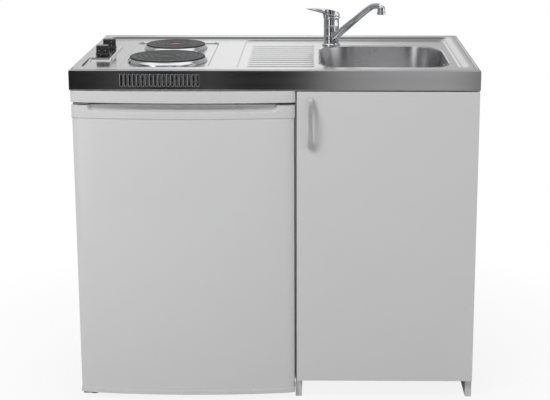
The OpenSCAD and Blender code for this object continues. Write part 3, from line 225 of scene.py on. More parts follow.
# %% Shape helpers
def eased(points, radius, steps=4):
    """A polyline whose inner corners C become (1-t)(1-t)A + 2t(1-t)C + ttB, with A and B on its sides."""
    p = np.asarray(points, float)
    before, here, after = p[:-2], p[1:-1], p[2:]

    def toward(end):
        way = end - here
        length = np.linalg.norm(way, axis=1, keepdims=True)
        return here + way / length * np.minimum(radius, 0.45 * length)

    a, b = toward(before)[:, None], toward(after)[:, None]
    t = np.linspace(0, 1, steps)[None, :, None]
    curve = (1 - t) ** 2 * a + 2 * t * (1 - t) * here[:, None] + t * t * b
    return np.concatenate([p[:1], curve.reshape(-1, p.shape[1]), p[-1:]])


def turned(profile, centre, turns=96, along="z", flutes=None):
    """A profile of (radius, distance) turned about an axis through centre.

    A point lies at (cos a, sin a) times its radius, less what flutes(angle, distance) takes off.
    """
    r, h = np.asarray(profile, float).T
    a = np.linspace(0, 2 * np.pi, turns, endpoint=False)
    radius = r[:, None] - (0 if flutes is None else np.minimum(flutes(a[None, :], h[:, None]), r[:, None]))
    first, second = radius * np.cos(a), radius * np.sin(a)
    height = np.broadcast_to(h[:, None], first.shape)
    order = {"z": (first, second, height), "y": (first, height, second), "x": (height, first, second)}
    return surface(np.stack(order[along], -1) + np.asarray(centre, float), columns_closed=True)


def inside(x, y, box, r):
    """How far a point lies inside a box with corner radius r: r - |max(q, 0)| - min(max(q), 0)."""
    qx = np.abs(x - (box[0] + box[2]) / 2) - (box[2] - box[0]) / 2 + r
    qy = np.abs(y - (box[1] + box[3]) / 2) - (box[3] - box[1]) / 2 + r
    return r - np.hypot(np.maximum(qx, 0), np.maximum(qy, 0)) - np.minimum(np.maximum(qx, qy), 0)


def smooth(t):
    """0 to 1 along an S-curve, 3tt - 2ttt."""
    t = np.clip(t, 0, 1)
    return t * t * (3 - 2 * t)


def grow(box, by):
    """The box with every side moved out."""
    return [box[0] - by, box[1] - by, box[2] + by, box[3] + by]


def lines(low, high, steps, coarse, dense):
    """Grid lines from low to high: every coarse-th of the steps, and every one inside the dense stretches."""
    every = np.arange(steps + 1)
    value = low + (high - low) * every / steps
    keep = (every % coarse == 0) | np.any([(value > a) & (value < b) for a, b in dense], axis=0)
    return value[keep]


def pebble(centre, half, roundness=0.5, turns=24):
    """A rounded block: each axis is half size times a cosine or sine raised to the roundness, sign kept."""
    v = np.linspace(-np.pi / 2, np.pi / 2, turns // 2 + 1)[:, None]
    u = np.linspace(0, 2 * np.pi, turns, endpoint=False)[None, :]

    def power(w):
        return np.sign(w) * np.abs(w) ** roundness

    grid = np.stack([power(np.cos(v)) * power(np.cos(u)), power(np.cos(v)) * power(np.sin(u)),
                     power(np.sin(v)) * np.ones_like(u)], -1)
    return surface(grid * half + np.asarray(centre, float), columns_closed=True)


# %% [markdown]
# ## Effects that several finishes share
# Real surfaces are never one even colour. Three node groups give the variation: long grain as
# left by rolling and brushing, soft cloudy mottling, and small specks. Each is built once and
# then placed in a material with that material's own numbers.

# %% Node groups
def group(name, inputs, outputs):
    """An empty shader node group with those sockets; returns it with its input and output nodes."""
    made = bpy.data.node_groups.new(name, "ShaderNodeTree")
    for label, kind, value in inputs:
        entry = made.interface.new_socket(name=label, in_out="INPUT", socket_type=kind)
        if value is not None:
            entry.default_value = value
    for label, kind in outputs:
        made.interface.new_socket(name=label, in_out="OUTPUT", socket_type=kind)
    return made, node(made, "NodeGroupInput"), node(made, "NodeGroupOutput")


grain_group, start, end = group(
    "long_grain",
    [("Vector", "NodeSocketVector", None), ("Stretch", "NodeSocketVector", (10, 600, 600))],
    [("Grain", "NodeSocketFloat"), ("Broad", "NodeSocketFloat")])
stretch = node(grain_group, "ShaderNodeVectorMath", operation="MULTIPLY")
fine = node(grain_group, "ShaderNodeTexNoise", Scale=1.0, Detail=3.0, Roughness=0.6)
slow = node(grain_group, "ShaderNodeTexNoise", Scale=0.12, Detail=2.0, Roughness=0.5)
wire(grain_group, (start, "Vector"), (stretch, 0))
wire(grain_group, (start, "Stretch"), (stretch, 1))
wire(grain_group, (stretch, 0), (fine, "Vector"))
wire(grain_group, (stretch, 0), (slow, "Vector"))
wire(grain_group, (fine, 0), (end, "Grain"))
wire(grain_group, (slow, 0), (end, "Broad"))

mottle_group, start, end = group(
    "soft_mottle",
    [("Vector", "NodeSocketVector", None), ("Scale", "NodeSocketFloat", 12.0),
     ("Light", "NodeSocketColor", (1, 1, 1, 1)), ("Dark", "NodeSocketColor", (0.9, 0.9, 0.9, 1))],
    [("Color", "NodeSocketColor"), ("Mask", "NodeSocketFloat")])
cloud = node(mottle_group, "ShaderNodeTexNoise", Detail=5.0, Roughness=0.62)
blend = node(mottle_group, "ShaderNodeMix", data_type="RGBA")
spread = node(mottle_group, "ShaderNodeMapRange", From_Min=0.3, From_Max=0.7)
wire(mottle_group, (start, "Vector"), (cloud, "Vector"))
wire(mottle_group, (start, "Scale"), (cloud, "Scale"))
wire(mottle_group, (cloud, 0), (spread, 0))
wire(mottle_group, (spread, 0), (blend, 0))
wire(mottle_group, (start, "Dark"), (blend, 6))
wire(mottle_group, (start, "Light"), (blend, 7))
wire(mottle_group, (blend, 2), (end, "Color"))
wire(mottle_group, (spread, 0), (end, "Mask"))

speck_group, start, end = group(
    "specks",
    [("Vector", "NodeSocketVector", None), ("Scale", "NodeSocketFloat", 900.0)],
    [("Mask", "NodeSocketFloat"), ("Height", "NodeSocketFloat")])
dots = node(speck_group, "ShaderNodeTexNoise", Detail=2.0, Roughness=0.5)
few = node(speck_group, "ShaderNodeMapRange", From_Min=0.62, From_Max=0.7)
wire(speck_group, (start, "Vector"), (dots, "Vector"))
wire(speck_group, (start, "Scale"), (dots, "Scale"))
wire(speck_group, (dots, 0), (few, 0))
wire(speck_group, (few, 0), (end, "Mask"))
wire(speck_group, (dots, 0), (end, "Height"))

# %% [markdown]
# ## Finishes
# One recipe serves most of the unit: a colour that drifts between two close tones, a roughness
# that drifts with it, and a fine relief. Sheet steel gets long grain along the unit, paint a
# slight orange peel, board its melamine film, castings a coarse skin.

# %% The recipe
def finish(name, light, dark, metallic=0.0, rough=(0.3, 0.4), cloud=9.0, grain=None, specks=900.0,
           relief=0.05, depth=0.02, **sockets):
    """A material: colour from dark to light by cloud, roughness in a range, relief from grain or specks."""
    made = bpy.data.materials.new(name)
    made.use_nodes = True
    tree = made.node_tree
    shader = tree.nodes["Principled BSDF"]
    shader.inputs["Metallic"].default_value = metallic
    for key, value in sockets.items():
        shader.inputs[key.replace("_", " ")].default_value = value
    place_at = node(tree, "ShaderNodeTexCoord")
    mottle = node(tree, "ShaderNodeGroup", node_tree=mottle_group)
    mottle.inputs["Scale"].default_value = cloud
    mottle.inputs["Light"].default_value = (*light, 1)
    mottle.inputs["Dark"].default_value = (*dark, 1)
    wire(tree, (place_at, "Object"), (mottle, "Vector"))
    wire(tree, (mottle, "Color"), (shader, "Base Color"))
    if grain:
        texture = node(tree, "ShaderNodeGroup", node_tree=grain_group)
        texture.inputs["Stretch"].default_value = grain
        height = (texture, "Grain")
        sway = (texture, "Broad")
    else:
        texture = node(tree, "ShaderNodeGroup", node_tree=speck_group)
        texture.inputs["Scale"].default_value = specks
        height = (texture, "Height")
        sway = (mottle, "Mask")
    wire(tree, (place_at, "Object"), (texture, "Vector"))
    spread = node(tree, "ShaderNodeMapRange", From_Min=0.3, From_Max=0.7, To_Min=rough[0], To_Max=rough[1])
    wire(tree, sway, (spread, 0))
    wire(tree, (spread, 0), (shader, "Roughness"))
    bump = node(tree, "ShaderNodeBump", Strength=relief, Distance=depth * MM)
    wire(tree, height, (bump, "Height"))
    wire(tree, (bump, 0), (shader, "Normal"))
    finishes[name] = made
    return made


ALONG = (9, 900, 900)
finish("satin_steel", (0.74, 0.74, 0.745), (0.71, 0.71, 0.715), 1.0, (0.17, 0.21), 3.0, ALONG, relief=0.06)
finish("bright_steel", (0.60, 0.60, 0.61), (0.54, 0.54, 0.55), 1.0, (0.10, 0.14), 2.5, ALONG)
finish("drawn_steel", (0.70, 0.70, 0.71), (0.66, 0.66, 0.67), 1.0, (0.24, 0.30), 6.0, specks=1500.0,
       relief=0.04)
finish("chrome", (0.80, 0.81, 0.83), (0.74, 0.75, 0.77), 1.0, (0.03, 0.07), 40.0, relief=0.02, depth=0.01)
finish("satin_nickel", (0.66, 0.66, 0.66), (0.60, 0.60, 0.60), 0.55, (0.32, 0.42), 60.0, (900, 900, 40),
       relief=0.2)
finish("zinc", (0.60, 0.61, 0.63), (0.42, 0.43, 0.45), 1.0, (0.35, 0.5), 30.0, relief=0.1)
finish("brass", (0.70, 0.52, 0.24), (0.60, 0.42, 0.18), 1.0, (0.25, 0.35), 60.0, relief=0.1)
finish("copper", (0.72, 0.38, 0.25), (0.52, 0.24, 0.16), 1.0, (0.28, 0.42), 30.0, relief=0.1)
finish("black_plastic", (0.016, 0.016, 0.017), (0.011, 0.011, 0.012), 0.0, (0.16, 0.26), 60.0,
       relief=0.1, IOR=1.7)
finish("bakelite", (0.075, 0.055, 0.045), (0.05, 0.035, 0.03), 0.0, (0.4, 0.5), 60.0, relief=0.1)
finish("grey_plastic", (0.36, 0.37, 0.38), (0.31, 0.32, 0.33), 0.0, (0.38, 0.5), 14.0, relief=0.1)
finish("mark_white", (0.82, 0.82, 0.80), (0.74, 0.74, 0.72), 0.0, (0.45, 0.55), 200.0, relief=0.1)
finish("white_board", (0.75, 0.75, 0.75), (0.74, 0.74, 0.74), 0.0, (0.36, 0.40), 5.0, specks=2600.0,
       relief=0.12, depth=0.03)
finish("white_sheet", (0.762, 0.762, 0.764), (0.758, 0.758, 0.76), 0.0, (0.28, 0.29), 4.0, specks=1100.0,
       relief=0.06, Coat_Weight=0.25)
finish("white_plastic", (0.76, 0.76, 0.76), (0.73, 0.73, 0.73), 0.0, (0.26, 0.34), 7.0, specks=1800.0,
       relief=0.06)
finish("gasket_rubber", (0.52, 0.52, 0.52), (0.46, 0.46, 0.46), 0.0, (0.55, 0.65), 20.0, relief=0.2)
finish("black_enamel", (0.022, 0.022, 0.023), (0.012, 0.012, 0.013), 0.0, (0.3, 0.5), 20.0, relief=0.15)
finish("chipboard", (0.60, 0.46, 0.29), (0.36, 0.25, 0.14), 0.0, (0.7, 0.85), 260.0, specks=500.0, relief=0.5,
       depth=0.2)
print(len(finishes), "finishes")

# %% [markdown]
# The hotplates are bare cast iron, turned on a lathe, so their fine rings run round the centre
# of each plate. A wave texture in rings does that once a Mapping node has moved its centre
# there. The red spot marks the fast plate and is a heat-proof enamel.

# %% Iron, enamel and clear plastics
def plate_iron(name, centre):
    """Cast iron with turned rings round a centre given in plan millimetres."""
    made = finish(name, (0.048, 0.048, 0.050), (0.034, 0.034, 0.036), 0.35, (0.42, 0.56), 90.0,
                  specks=1500.0, relief=0.35, depth=0.05)
    tree = made.node_tree
    shader, bump = tree.nodes["Principled BSDF"], tree.nodes["Bump"]
    where = to_frame([*centre, 0])
    rings = node(tree, "ShaderNodeTexWave", wave_type="RINGS", Scale=90.0, Detail=1.5)
    rings.rings_direction = "Z"
    move = node(tree, "ShaderNodeMapping", Location=(-where[0], -where[1], 0))
    wire(tree, (tree.nodes["Texture Coordinate"], "Object"), (move, 0))
    wire(tree, (move, 0), (rings, "Vector"))
    ridge = node(tree, "ShaderNodeBump", Strength=0.35, Distance=0.08 * MM)
    wire(tree, (rings, 1), (ridge, "Height"))
    wire(tree, (bump, 0), (ridge, "Normal"))
    wire(tree, (ridge, 0), (shader, "Normal"))
    return made


PLATES = {"front": ((-280, 196), 206), "rear": ((-280, 408), 172)}
for which, (centre, _) in PLATES.items():
    plate_iron(f"{which}_iron", centre)
finish("red_enamel", (0.42, 0.035, 0.022), (0.34, 0.025, 0.016), 0.0, (0.3, 0.42), 300.0, relief=0.2)


def clear(name, light, dark, rough, cloud):
    """A clear plastic or glass: the shader's own transmission, and a slightly uneven polish."""
    return finish(name, light, dark, 0.0, rough, cloud, relief=0.03, Transmission_Weight=1.0, IOR=1.5)


clear("shelf_glass", (0.975, 0.99, 0.985), (0.96, 0.98, 0.97), (0.02, 0.05), 6.0)
clear("clear_plastic", (0.98, 0.985, 0.99), (0.965, 0.975, 0.98), (0.05, 0.09), 10.0)

# %% [markdown]
# ## The pressed worktop
# One sheet of stainless steel is pressed in steps: a raised border, a sunk deck, a plateau for
# the knobs, a deeper recess for the hob and a shallow one for the sink, with eleven round-backed
# ribs as a drainer. A height worked out for every point of a grid gives all of that. Lines of
# the grid lie close together only where the sheet bends.

# %% Worktop top
TOP, LEFT, RIGHT, DEPTH = 850.0, -500.0, 500.0, 600.0
DECK = ([-478, 46, 480, 568], 20, [-476, 58, 461, 552], 14)
HOB = ([-392, 88, -168, 500], 18, [-389, 91, -171, 497], 15)
SINK = ([-97, 61, 459, 546], 24, [-93, 64, 456, 543], 20)
PLATEAU = ([-489.5, 188.5, -420.5, 393.5], 7, [-486.5, 191.5, -423.5, 390.5], 5)
BOWL, BOWL_R, ROLL = [111, 75, 437, 452], 100, 3.5
SEAM = 8.0
RIB_X, RIB_Y0, RIB_PITCH, RIBS, RIB_BACK, RIB_RISE = (-75, 97), 102.5, 34.0, 11, 30.0, 2.4


def pressed(x, y, hi, hi_r, lo, lo_r):
    """0 outside the outline hi, 1 inside the outline lo, and between them the share, slightly S-shaped."""
    a, b = inside(x, y, hi, hi_r), -inside(x, y, lo, lo_r)
    share = np.clip(a / (a + b), 0, 1)
    return 0.65 * share + 0.35 * smooth(share)


def worktop_height(x, y):
    """Border height less each pressed step, plus round-backed ribs: max(0, root(RR - dd) - R + rise)."""
    z = TOP - 6 * pressed(x, y, *DECK) * (1 - pressed(x, y, *PLATEAU))
    z = z - 3 * pressed(x, y, *HOB) - 2 * pressed(x, y, *SINK)
    row = np.clip(np.round((y - RIB_Y0) / RIB_PITCH), 0, RIBS - 1)
    off = y - RIB_Y0 - row * RIB_PITCH
    back = np.sqrt(np.maximum(RIB_BACK**2 - off**2, 0)) - RIB_BACK + RIB_RISE
    ends = smooth((x - RIB_X[0]) / 9) * smooth((RIB_X[1] - x) / 9)
    return z + np.maximum(back, 0) * ends


def cut(x, y, box, r, faces):
    """Drops the faces wholly inside an outline and moves the points left inside it out onto it."""
    depth = inside(x, y, box, r)
    cx, cy = (box[0] + box[2]) / 2, (box[1] + box[3]) / 2
    qx = np.abs(x - cx) - (box[2] - box[0]) / 2 + r
    qy = np.abs(y - cy) - (box[3] - box[1]) / 2 + r
    corner = (qx > 0) & (qy > 0)
    long = np.maximum(np.hypot(qx, qy), 1e-9)
    nx = np.where(corner, qx / long, qx > qy) * np.sign(x - cx)
    ny = np.where(corner, qy / long, qx <= qy) * np.sign(y - cy)
    move = np.maximum(depth, 0)
    return x + nx * move, y + ny * move, faces[(depth.ravel()[faces] < 0).any(axis=1)]


xs = lines(LEFT + SEAM, RIGHT - SEAM, 600, 5,
           [(-492, -456), (-430, -414), (-393, -371), (-190, -166), (-98, -64), (88, 100), (434, 482)])
ys = lines(SEAM, DEPTH - SEAM, 360, 4, [(44, 86), (88, 108), (RIB_Y0 - 13, RIB_Y0 + 13), (184, 196),
                                        (386, 398), (480, 502), (520, 570)])
RIB_ROWS, NARROWEST = (88, 458), 0.45
over_rib = np.array([-14, -11.8, -9, -5, 0, 5, 9, 11.8, 14])
rib_lines = (RIB_Y0 + RIB_PITCH * np.arange(RIBS)[:, None] + over_rib).ravel()
on_ribs = (ys >= RIB_ROWS[0]) & (ys <= RIB_ROWS[1])
ys = np.unique(np.round(np.concatenate([ys[~on_ribs], rib_lines, ys[on_ribs][::2]]), 2))
ys = ys[np.concatenate([[True], np.diff(ys) > NARROWEST])]
x, y = np.meshgrid(xs, ys, indexing="ij")
_, faces = surface(np.stack([x, y, 0 * x], -1))
x, y, faces = cut(x, y, grow(BOWL, ROLL), BOWL_R + ROLL, faces)
top_grid = np.stack([x, y, worktop_height(x, y)], -1)
top_sheet = show("worktop_top", [(top_grid.reshape(-1, 3), faces[:, ::-1])], "unit", "steel", "satin_steel",
                 ["worktop"], outward=False)
thicken(top_sheet, 1.0)
print("top faces up:", round(float(np.mean([p.normal.z for p in top_sheet.data.polygons])), 2))

# %% [markdown]
# The apron is the same sheet folded down. Here it is its own strip: a fold profile carried round
# the plan of the worktop, mitred at the corners as the welded ones are. Nineteen vent slots are
# punched in it for the hob, and punching raises a small lip round each of them.

# %% Apron with its vent slots
APRON, NOSE = 800.0, 4.0
VENTS, VENT_PITCH, VENT_X0, VENT_Z, VENT_HALF, VENT_R, LIP = 19, 10.3, -372.0, 825.0, 14.5, 2.6, 0.3
end_rows = VENT_HALF - np.array([-1.6, -1.2, -0.85, -0.5, -0.2, 0, 0.4, 1.0, 1.7, 2.5])
vent_rows = np.concatenate([VENT_Z - end_rows, np.linspace(VENT_Z - 10, VENT_Z + 10, 9),
                            VENT_Z + end_rows[::-1]])
face_rows = np.concatenate([np.linspace(APRON + 2.5, VENT_Z - VENT_HALF - 3, 4), vent_rows,
                            np.linspace(VENT_Z + VENT_HALF + 3, TOP - NOSE, 3)])
bend = np.linspace(0, np.pi / 2, 9)
fold = np.concatenate([
    eased([(12, APRON), (6, APRON), (0, APRON), (0, APRON + 2.5)], 2.4, 5)[:-1],
    np.stack([0 * face_rows, face_rows], -1)[:-1],
    np.stack([NOSE - NOSE * np.cos(bend), TOP - NOSE + NOSE * np.sin(bend)], -1),
    [(SEAM, TOP)]])
half_pitch = np.array([0, 0.9, 1.6, 2.1, VENT_R, 2.75, 3.05, 3.4, 3.8, 4.4])
local = np.concatenate([-half_pitch[:0:-1], half_pitch])
vent_lines = (VENT_X0 + VENT_PITCH * np.arange(VENTS)[:, None] + local).ravel()
left_lines, right_lines = np.linspace(LEFT, VENT_X0 - 8, 9), np.linspace(vent_lines[-1] + 4, RIGHT, 41)
along = np.concatenate([left_lines, vent_lines, right_lines])
sides = np.linspace(0, DEPTH, 13)
round_plan = np.concatenate([
    np.stack([along, 0 * along], -1)[:-1],
    np.stack([0 * sides + RIGHT, sides], -1)[:-1],
    np.stack([np.linspace(RIGHT, LEFT, 21), np.full(21, DEPTH)], -1)[:-1],
    np.stack([0 * sides + LEFT, sides[::-1]], -1)[:-1]])
from_middle = round_plan - [0, DEPTH / 2]
inward = -np.sign(np.where(np.abs(from_middle) >= [RIGHT, DEPTH / 2], from_middle, 0))
strip = np.concatenate([
    round_plan[None] + inward[None] * fold[:, None, :1],
    np.broadcast_to(fold[:, None, 1:], (len(fold), len(round_plan), 1))], -1)

px, py, pz = strip[..., 0], strip[..., 1], strip[..., 2]
slot = np.clip(np.round((px - VENT_X0) / VENT_PITCH), 0, VENTS - 1)
near = px - VENT_X0 - slot * VENT_PITCH
on_face = (py < 1e-6) & (pz > APRON + 3) & (pz < TOP - NOSE)
vent_box = [-VENT_R, VENT_Z - VENT_HALF, VENT_R, VENT_Z + VENT_HALF]
depth = np.where(on_face, inside(near, pz, vent_box, VENT_R - 1e-3), -99)
moved_x, moved_z, _ = cut(near, pz, vent_box, VENT_R - 1e-3, np.zeros((0, 4), int))
px = np.where(on_face, px + moved_x - near, px)
pz = np.where(on_face, moved_z, pz)
rim = np.clip((np.maximum(-depth, 0) - 0.45) / 0.75, -1, 1)
py = py - np.where(on_face, LIP * (0.5 + 0.5 * np.cos(np.pi * rim)), 0)
points, faces = surface(np.stack([px, py, pz], -1), columns_closed=True)
faces = faces[(depth.ravel()[faces] < 0).any(axis=1)]
apron = show("worktop_apron", [(points, faces)], "unit", "steel", "bright_steel", outward=False)
thicken(apron, 1.0)
front = [p.normal.y for p in apron.data.polygons if abs(p.normal.y) > 0.9 and p.center.y < front_edge + 0.01]
print("apron faces out:", round(float(np.mean(front)), 2))

# %% [markdown]
# ## The bowl
# The bowl is deep-drawn from its own sheet and welded in, so its edge rolls over from the deck
# with no step. It is one surface: a rounded outline that shrinks, changes its corner radius and
# goes down, ring by ring, and ends round the waste.

# %% Sink bowl
def ring_of(box, r, z, corner_steps=20):
    """A rounded outline: each corner's centre plus r times (cos, sin) over its quarter turn."""
    a = np.linspace(0, np.pi / 2, corner_steps)
    turn = a[None, :] + np.pi / 2 * np.arange(4)[:, None]
    sx, sy = np.array([1, -1, -1, 1])[:, None], np.array([1, 1, -1, -1])[:, None]
    hx, hy = (box[2] - box[0]) / 2 - r, (box[3] - box[1]) / 2 - r
    cx, cy = (box[0] + box[2]) / 2, (box[1] + box[3]) / 2
    grid = np.stack([cx + sx * hx + r * np.cos(turn), cy + sy * hy + r * np.sin(turn), z + 0 * turn], -1)
    return grid.reshape(-1, 3)


SINK_FLOOR = 842.0
roll = np.linspace(0, np.pi / 2, 8)
wall = eased([(0, 100, SINK_FLOOR - ROLL), (14, 90, 722), (27, 76, 699), (52, 54, 692), (100, 44, 691.3)],
             22, 8)
rolled = ROLL * np.sin(roll)
levels = np.concatenate([
    np.stack([-ROLL + rolled, BOWL_R + ROLL - rolled, SINK_FLOOR - ROLL + ROLL * np.cos(roll)], -1),
    wall[1:]])
rings = [ring_of(grow(BOWL, -inset), r, z) for inset, r, z in levels]
centre = [(BOWL[0] + BOWL[2]) / 2, (BOWL[1] + BOWL[3]) / 2]
rings += [ring_of(grow([*centre, *centre], r), r, z) for r, z in [(46, 691), (34, 691)]]
bowl = show("sink_bowl_sheet", [surface(np.array(rings)[:, ::-1], columns_closed=True)], "unit", "steel",
            "drawn_steel", ["sink_bowl"], outward=False)
thicken(bowl, 1.0)
low = min(bowl.data.polygons, key=lambda p: p.center.z)
print("bowl floor faces up:", round(low.normal.z, 2))

# %% [markdown]
# ## Cast plates and spill rings
# Each plate is a cast disc with a sunk middle and turned grooves, clamped in a polished ring
# that flares down to the recess. Both are plain turned profiles.

# %% Hotplates
HOB_FLOOR, PLATE_TOP, CAST = 841.0, 855.0, 12.0
for which, (centre, ring_d) in PLATES.items():
    r = ring_d / 2 - 7
    grooves = 24 + (r - 28) * np.arange(1, 5) / 5
    groove = np.array([(-1.0, 0), (-0.5, -0.45), (0, -0.6), (0.5, -0.45), (1.0, 0)])
    cuts = (np.array([[g, 0] for g in grooves])[::-1, None] + groove[None, ::-1]).reshape(-1, 2)
    head = eased([(0, -CAST), (r - 12, -CAST), (r - 9, -8), (r - 1.5, -6), (r, -4.5), (r, -1.2), (r - 1.4, 0),
                  (r - 4, 0)], 1.0)
    dish = eased([(25.5, 0), (24, 0), (22, -1.2), (0.0, -1.2)], 0.8)
    profile = np.concatenate([head, cuts, dish])
    show(f"{which}_plate", [turned(profile, [*centre, PLATE_TOP], 128)], "unit", "cast_iron", f"{which}_iron",
         [f"{which}_hotplate"], sharp=50)
    R, c = ring_d / 2, ring_d / 2 - 6.7
    flare = eased([(R - 12, 0), (R, 0), (R, 1.4), (R - 1.6, 4.6), (R - 4.4, 8), (c + 0.9, 10.4), (c, 10.4),
                   (c, 7.6), (R - 5, 7), (R - 2.6, 4), (R - 1.2, 1), (R - 12, 1), (R - 12, 0)], 1.2)
    show(f"{which}_ring", [turned(flare, [*centre, HOB_FLOOR], 160)], "unit", "chrome", "chrome",
         [f"{which}_spill_ring"])
spot = eased([(0, 0.9), (9.6, 0.9), (11, 0.3), (11, 0.0), (0, 0)], 0.5)
show("fast_plate_spot", [turned(spot, [*PLATES["rear"][0], PLATE_TOP - 1.2], 48)], "unit", "red_enamel",
     "red_enamel", ["red_spot"])

# %% [markdown]
# ## Knobs
# Moulded black knobs with eighteen flutes, a pointer ridge and small setting dots round the
# skirt. The flutes are taken off the turned radius by the angle, so they stay crisp.

# %% Hob knobs
KNOB_X, KNOB_Z, DOT_OUT = -450.0, 851.0, 16.9


def flutes(angle, height):
    """Eighteen grooves: 0.9 mm times a bell curve of the angle to the nearest, fading in above the skirt."""
    step = 2 * np.pi / 18
    off = (angle + step / 2) % step - step / 2
    return 0.9 * np.exp(-((off / 0.055) ** 2)) * smooth((height - 6.5) / 1.5)


knob_profile = eased([(0, 4), (15, 4), (15, 0), (18.5, 0), (18.5, 5), (17.3, 6), (17.2, 8), (16.7, 23),
                      (15.3, 26), (0, 26)], 0.8)
DOTS = {"front": [(-25, 14), (30, 14)], "rear": [(24, 19), (24, 10.5)]}
for which, knob_y in {"front": 225.0, "rear": 340.0}.items():
    at = np.array([KNOB_X, knob_y, KNOB_Z])
    ridge = pebble(at + [0, -1, 24.6], [2.1, 14.6, 2.4], 0.35, 32)
    show(f"{which}_knob_body", [turned(knob_profile, at, 216, flutes=flutes), ridge], f"{which}_knob",
         "black_plastic", "black_plastic", [f"{which}_knob"], sharp=50)
    spots = []
    for degrees, z in DOTS[which]:
        a = math.radians(degrees)
        dot = at + [DOT_OUT * math.sin(a), -DOT_OUT * math.cos(a), z]
        spots.append(pebble(dot, [0.9, 0.9, 0.9], 1.0, 12))
    show(f"{which}_knob_marks", spots, f"{which}_knob", "black_plastic", "mark_white")

# %% [markdown]
# ## The mixer tap
# A chromed brass column on a round base. The spout turns on a sleeve round the column and rises
# to a bend, and a lever cap on top lifts and turns. Column and sleeve are turned profiles. The
# spout is a circle carried along a curve, and its radius narrows on the way.

# %% Tap column and spout
TAP = np.array([142.0, 465.0, 0.0])
column = eased([(12, 842), (25, 842), (25, 844.6), (23, 848), (21, 848), (21, 849.7), (15.8, 849.7),
                (15.8, 880.3), (21, 880.3), (21, 914.7), (16, 914.7), (16, 897), (0, 897)], 0.6)
show("tap_column", [turned(column, TAP, 96)], "unit", "chrome", "chrome", ["tap_body"])

SPOUT_TURN = math.radians(-52)
spine = eased([(17, 867.6), (152, 955.0), (178, 967.8), (209, 969.2)], 34, 14)
spine = np.concatenate([np.linspace(spine[0], spine[1], 24)[:-1], spine[1:]])
share = np.concatenate([[0], np.cumsum(np.linalg.norm(np.diff(spine, axis=0), axis=1))])
reach = share / share[-1]
radius = 10.5 - 2.0 * smooth(reach / 0.75) + 3.0 * np.exp(-share / 7)
way = np.gradient(spine, axis=0)
way /= np.linalg.norm(way, axis=1, keepdims=True)
angle = np.linspace(0, 2 * np.pi, 48, endpoint=False)
out = spine[:, None, 0] - way[:, None, 1] * radius[:, None] * np.cos(angle) * 0.94
up = spine[:, None, 1] + way[:, None, 0] * radius[:, None] * np.cos(angle) * 0.94
across = radius[:, None] * np.sin(angle)
across = np.broadcast_to(across, out.shape)
# From BODY_FROM upwards the arm keeps clear of the tap's body. Below, it starts in the sleeve's wall.
BODY_FROM, BODY_CLEAR, ARM_ROOT = 878.5, 21.6, 16.9
clear_of = np.where(up > BODY_FROM, np.sqrt(np.maximum(BODY_CLEAR**2 - across**2, 0)), ARM_ROOT)
reach_in = np.maximum(out, clear_of)
c, s = math.cos(SPOUT_TURN), math.sin(SPOUT_TURN)
arm = np.stack([reach_in * c - across * s, reach_in * s + across * c, up], -1) + TAP
ends = [np.broadcast_to(ring.mean(0), ring.shape)[None] for ring in (arm[0], arm[-1])]
tube = np.concatenate([ends[0], arm, ends[1]])
sleeve = eased([(16.5, 850), (21, 850), (21, 880), (16.5, 880), (16.5, 850)], 0.6)
TIP = np.array([209 * c, 209 * s, 0]) + TAP
nozzle = eased([(0, 971.5), (6, 971), (9.8, 966), (10, 955.2), (7.5, 955.2), (7.5, 961), (0, 961)], 3.0, 6)
show("tap_spout", [turned(sleeve, TAP, 96), surface(tube, columns_closed=True), turned(nozzle, TIP, 64)],
     "spout", "chrome", "chrome", ["spout"])
outlet = eased([(0, 950.4), (8.2, 950.4), (8.5, 947.4), (10.4, 947.4), (11, 948.2), (11, 954.9), (7.4, 955.0),
                (7.4, 957), (0, 957)], 0.5)
show("tap_aerator", [turned(outlet, TIP, 64)], "spout", "chrome", "chrome", ["aerator"])

# %% [markdown]
# The lever is a hollow cap with a thin blade that sweeps up. Seen from above it is a circle with
# a tongue, so its outline is walked once round, and for every point of it a side profile goes
# from the rim up the wall, out along the blade's underside, round its edge and back to the top.

# %% Tap lever
LEVER_TURN, CAP, CAP_R, BLADE = math.radians(35), 915.0, 22.7, 81.0


def blade_half(u):
    """Half width of the blade at a distance u from the axis."""
    return np.interp(u, [14, 22, 30, 50, 70, 78, 80.2, 81], [14, 13.2, 11.6, 10, 8.6, 7.6, 5.4, 0.0])


def cap_top(u):
    """Height of the top over the cap's rim, u running towards the blade's tip."""
    return np.interp(u, [-22.7, -22.3, -20, -16, -12, -6, 3, 11, 22.7, 40.5, 60.8, 80, 81],
                     [8.0, 9.5, 12, 15, 17.6, 20.6, 24, 26.4, 29.4, 31.6, 33.0, 33.6, 33.0])


def blade_under(u):
    """Height of the blade's underside."""
    return np.interp(u, [18, 22.7, 24.7, 40.5, 60.8, 81], [13, 15, 18, 25, 28.6, 31.6])


u_out = np.concatenate([np.linspace(20.5, 76, 34), 76 + 5 * np.sin(np.linspace(0.06, np.pi / 2, 14))])
edge = np.stack([u_out, blade_half(u_out)], -1)
edge = edge[np.hypot(*edge.T) > CAP_R]
start_angle = math.atan2(edge[0, 1], edge[0, 0])
arc = np.linspace(start_angle, 2 * np.pi - start_angle, 72)[1:-1]
round_back = CAP_R * np.stack([np.cos(arc[::-1]), np.sin(arc[::-1])], -1)
ring_xy = np.concatenate([edge[:-1], [[BLADE, 0]], edge[:-1][::-1] * [1, -1], round_back])
ring_r = np.hypot(*ring_xy.T)
ring_dir = ring_xy / ring_r[:, None]
near_r = np.minimum(ring_r, CAP_R)
tongue = smooth((ring_r - CAP_R) / 4)


def level(radius, height):
    """Points at that radius along each direction of the outline, at that height."""
    return np.concatenate([ring_dir * radius[:, None], height[:, None]], -1)


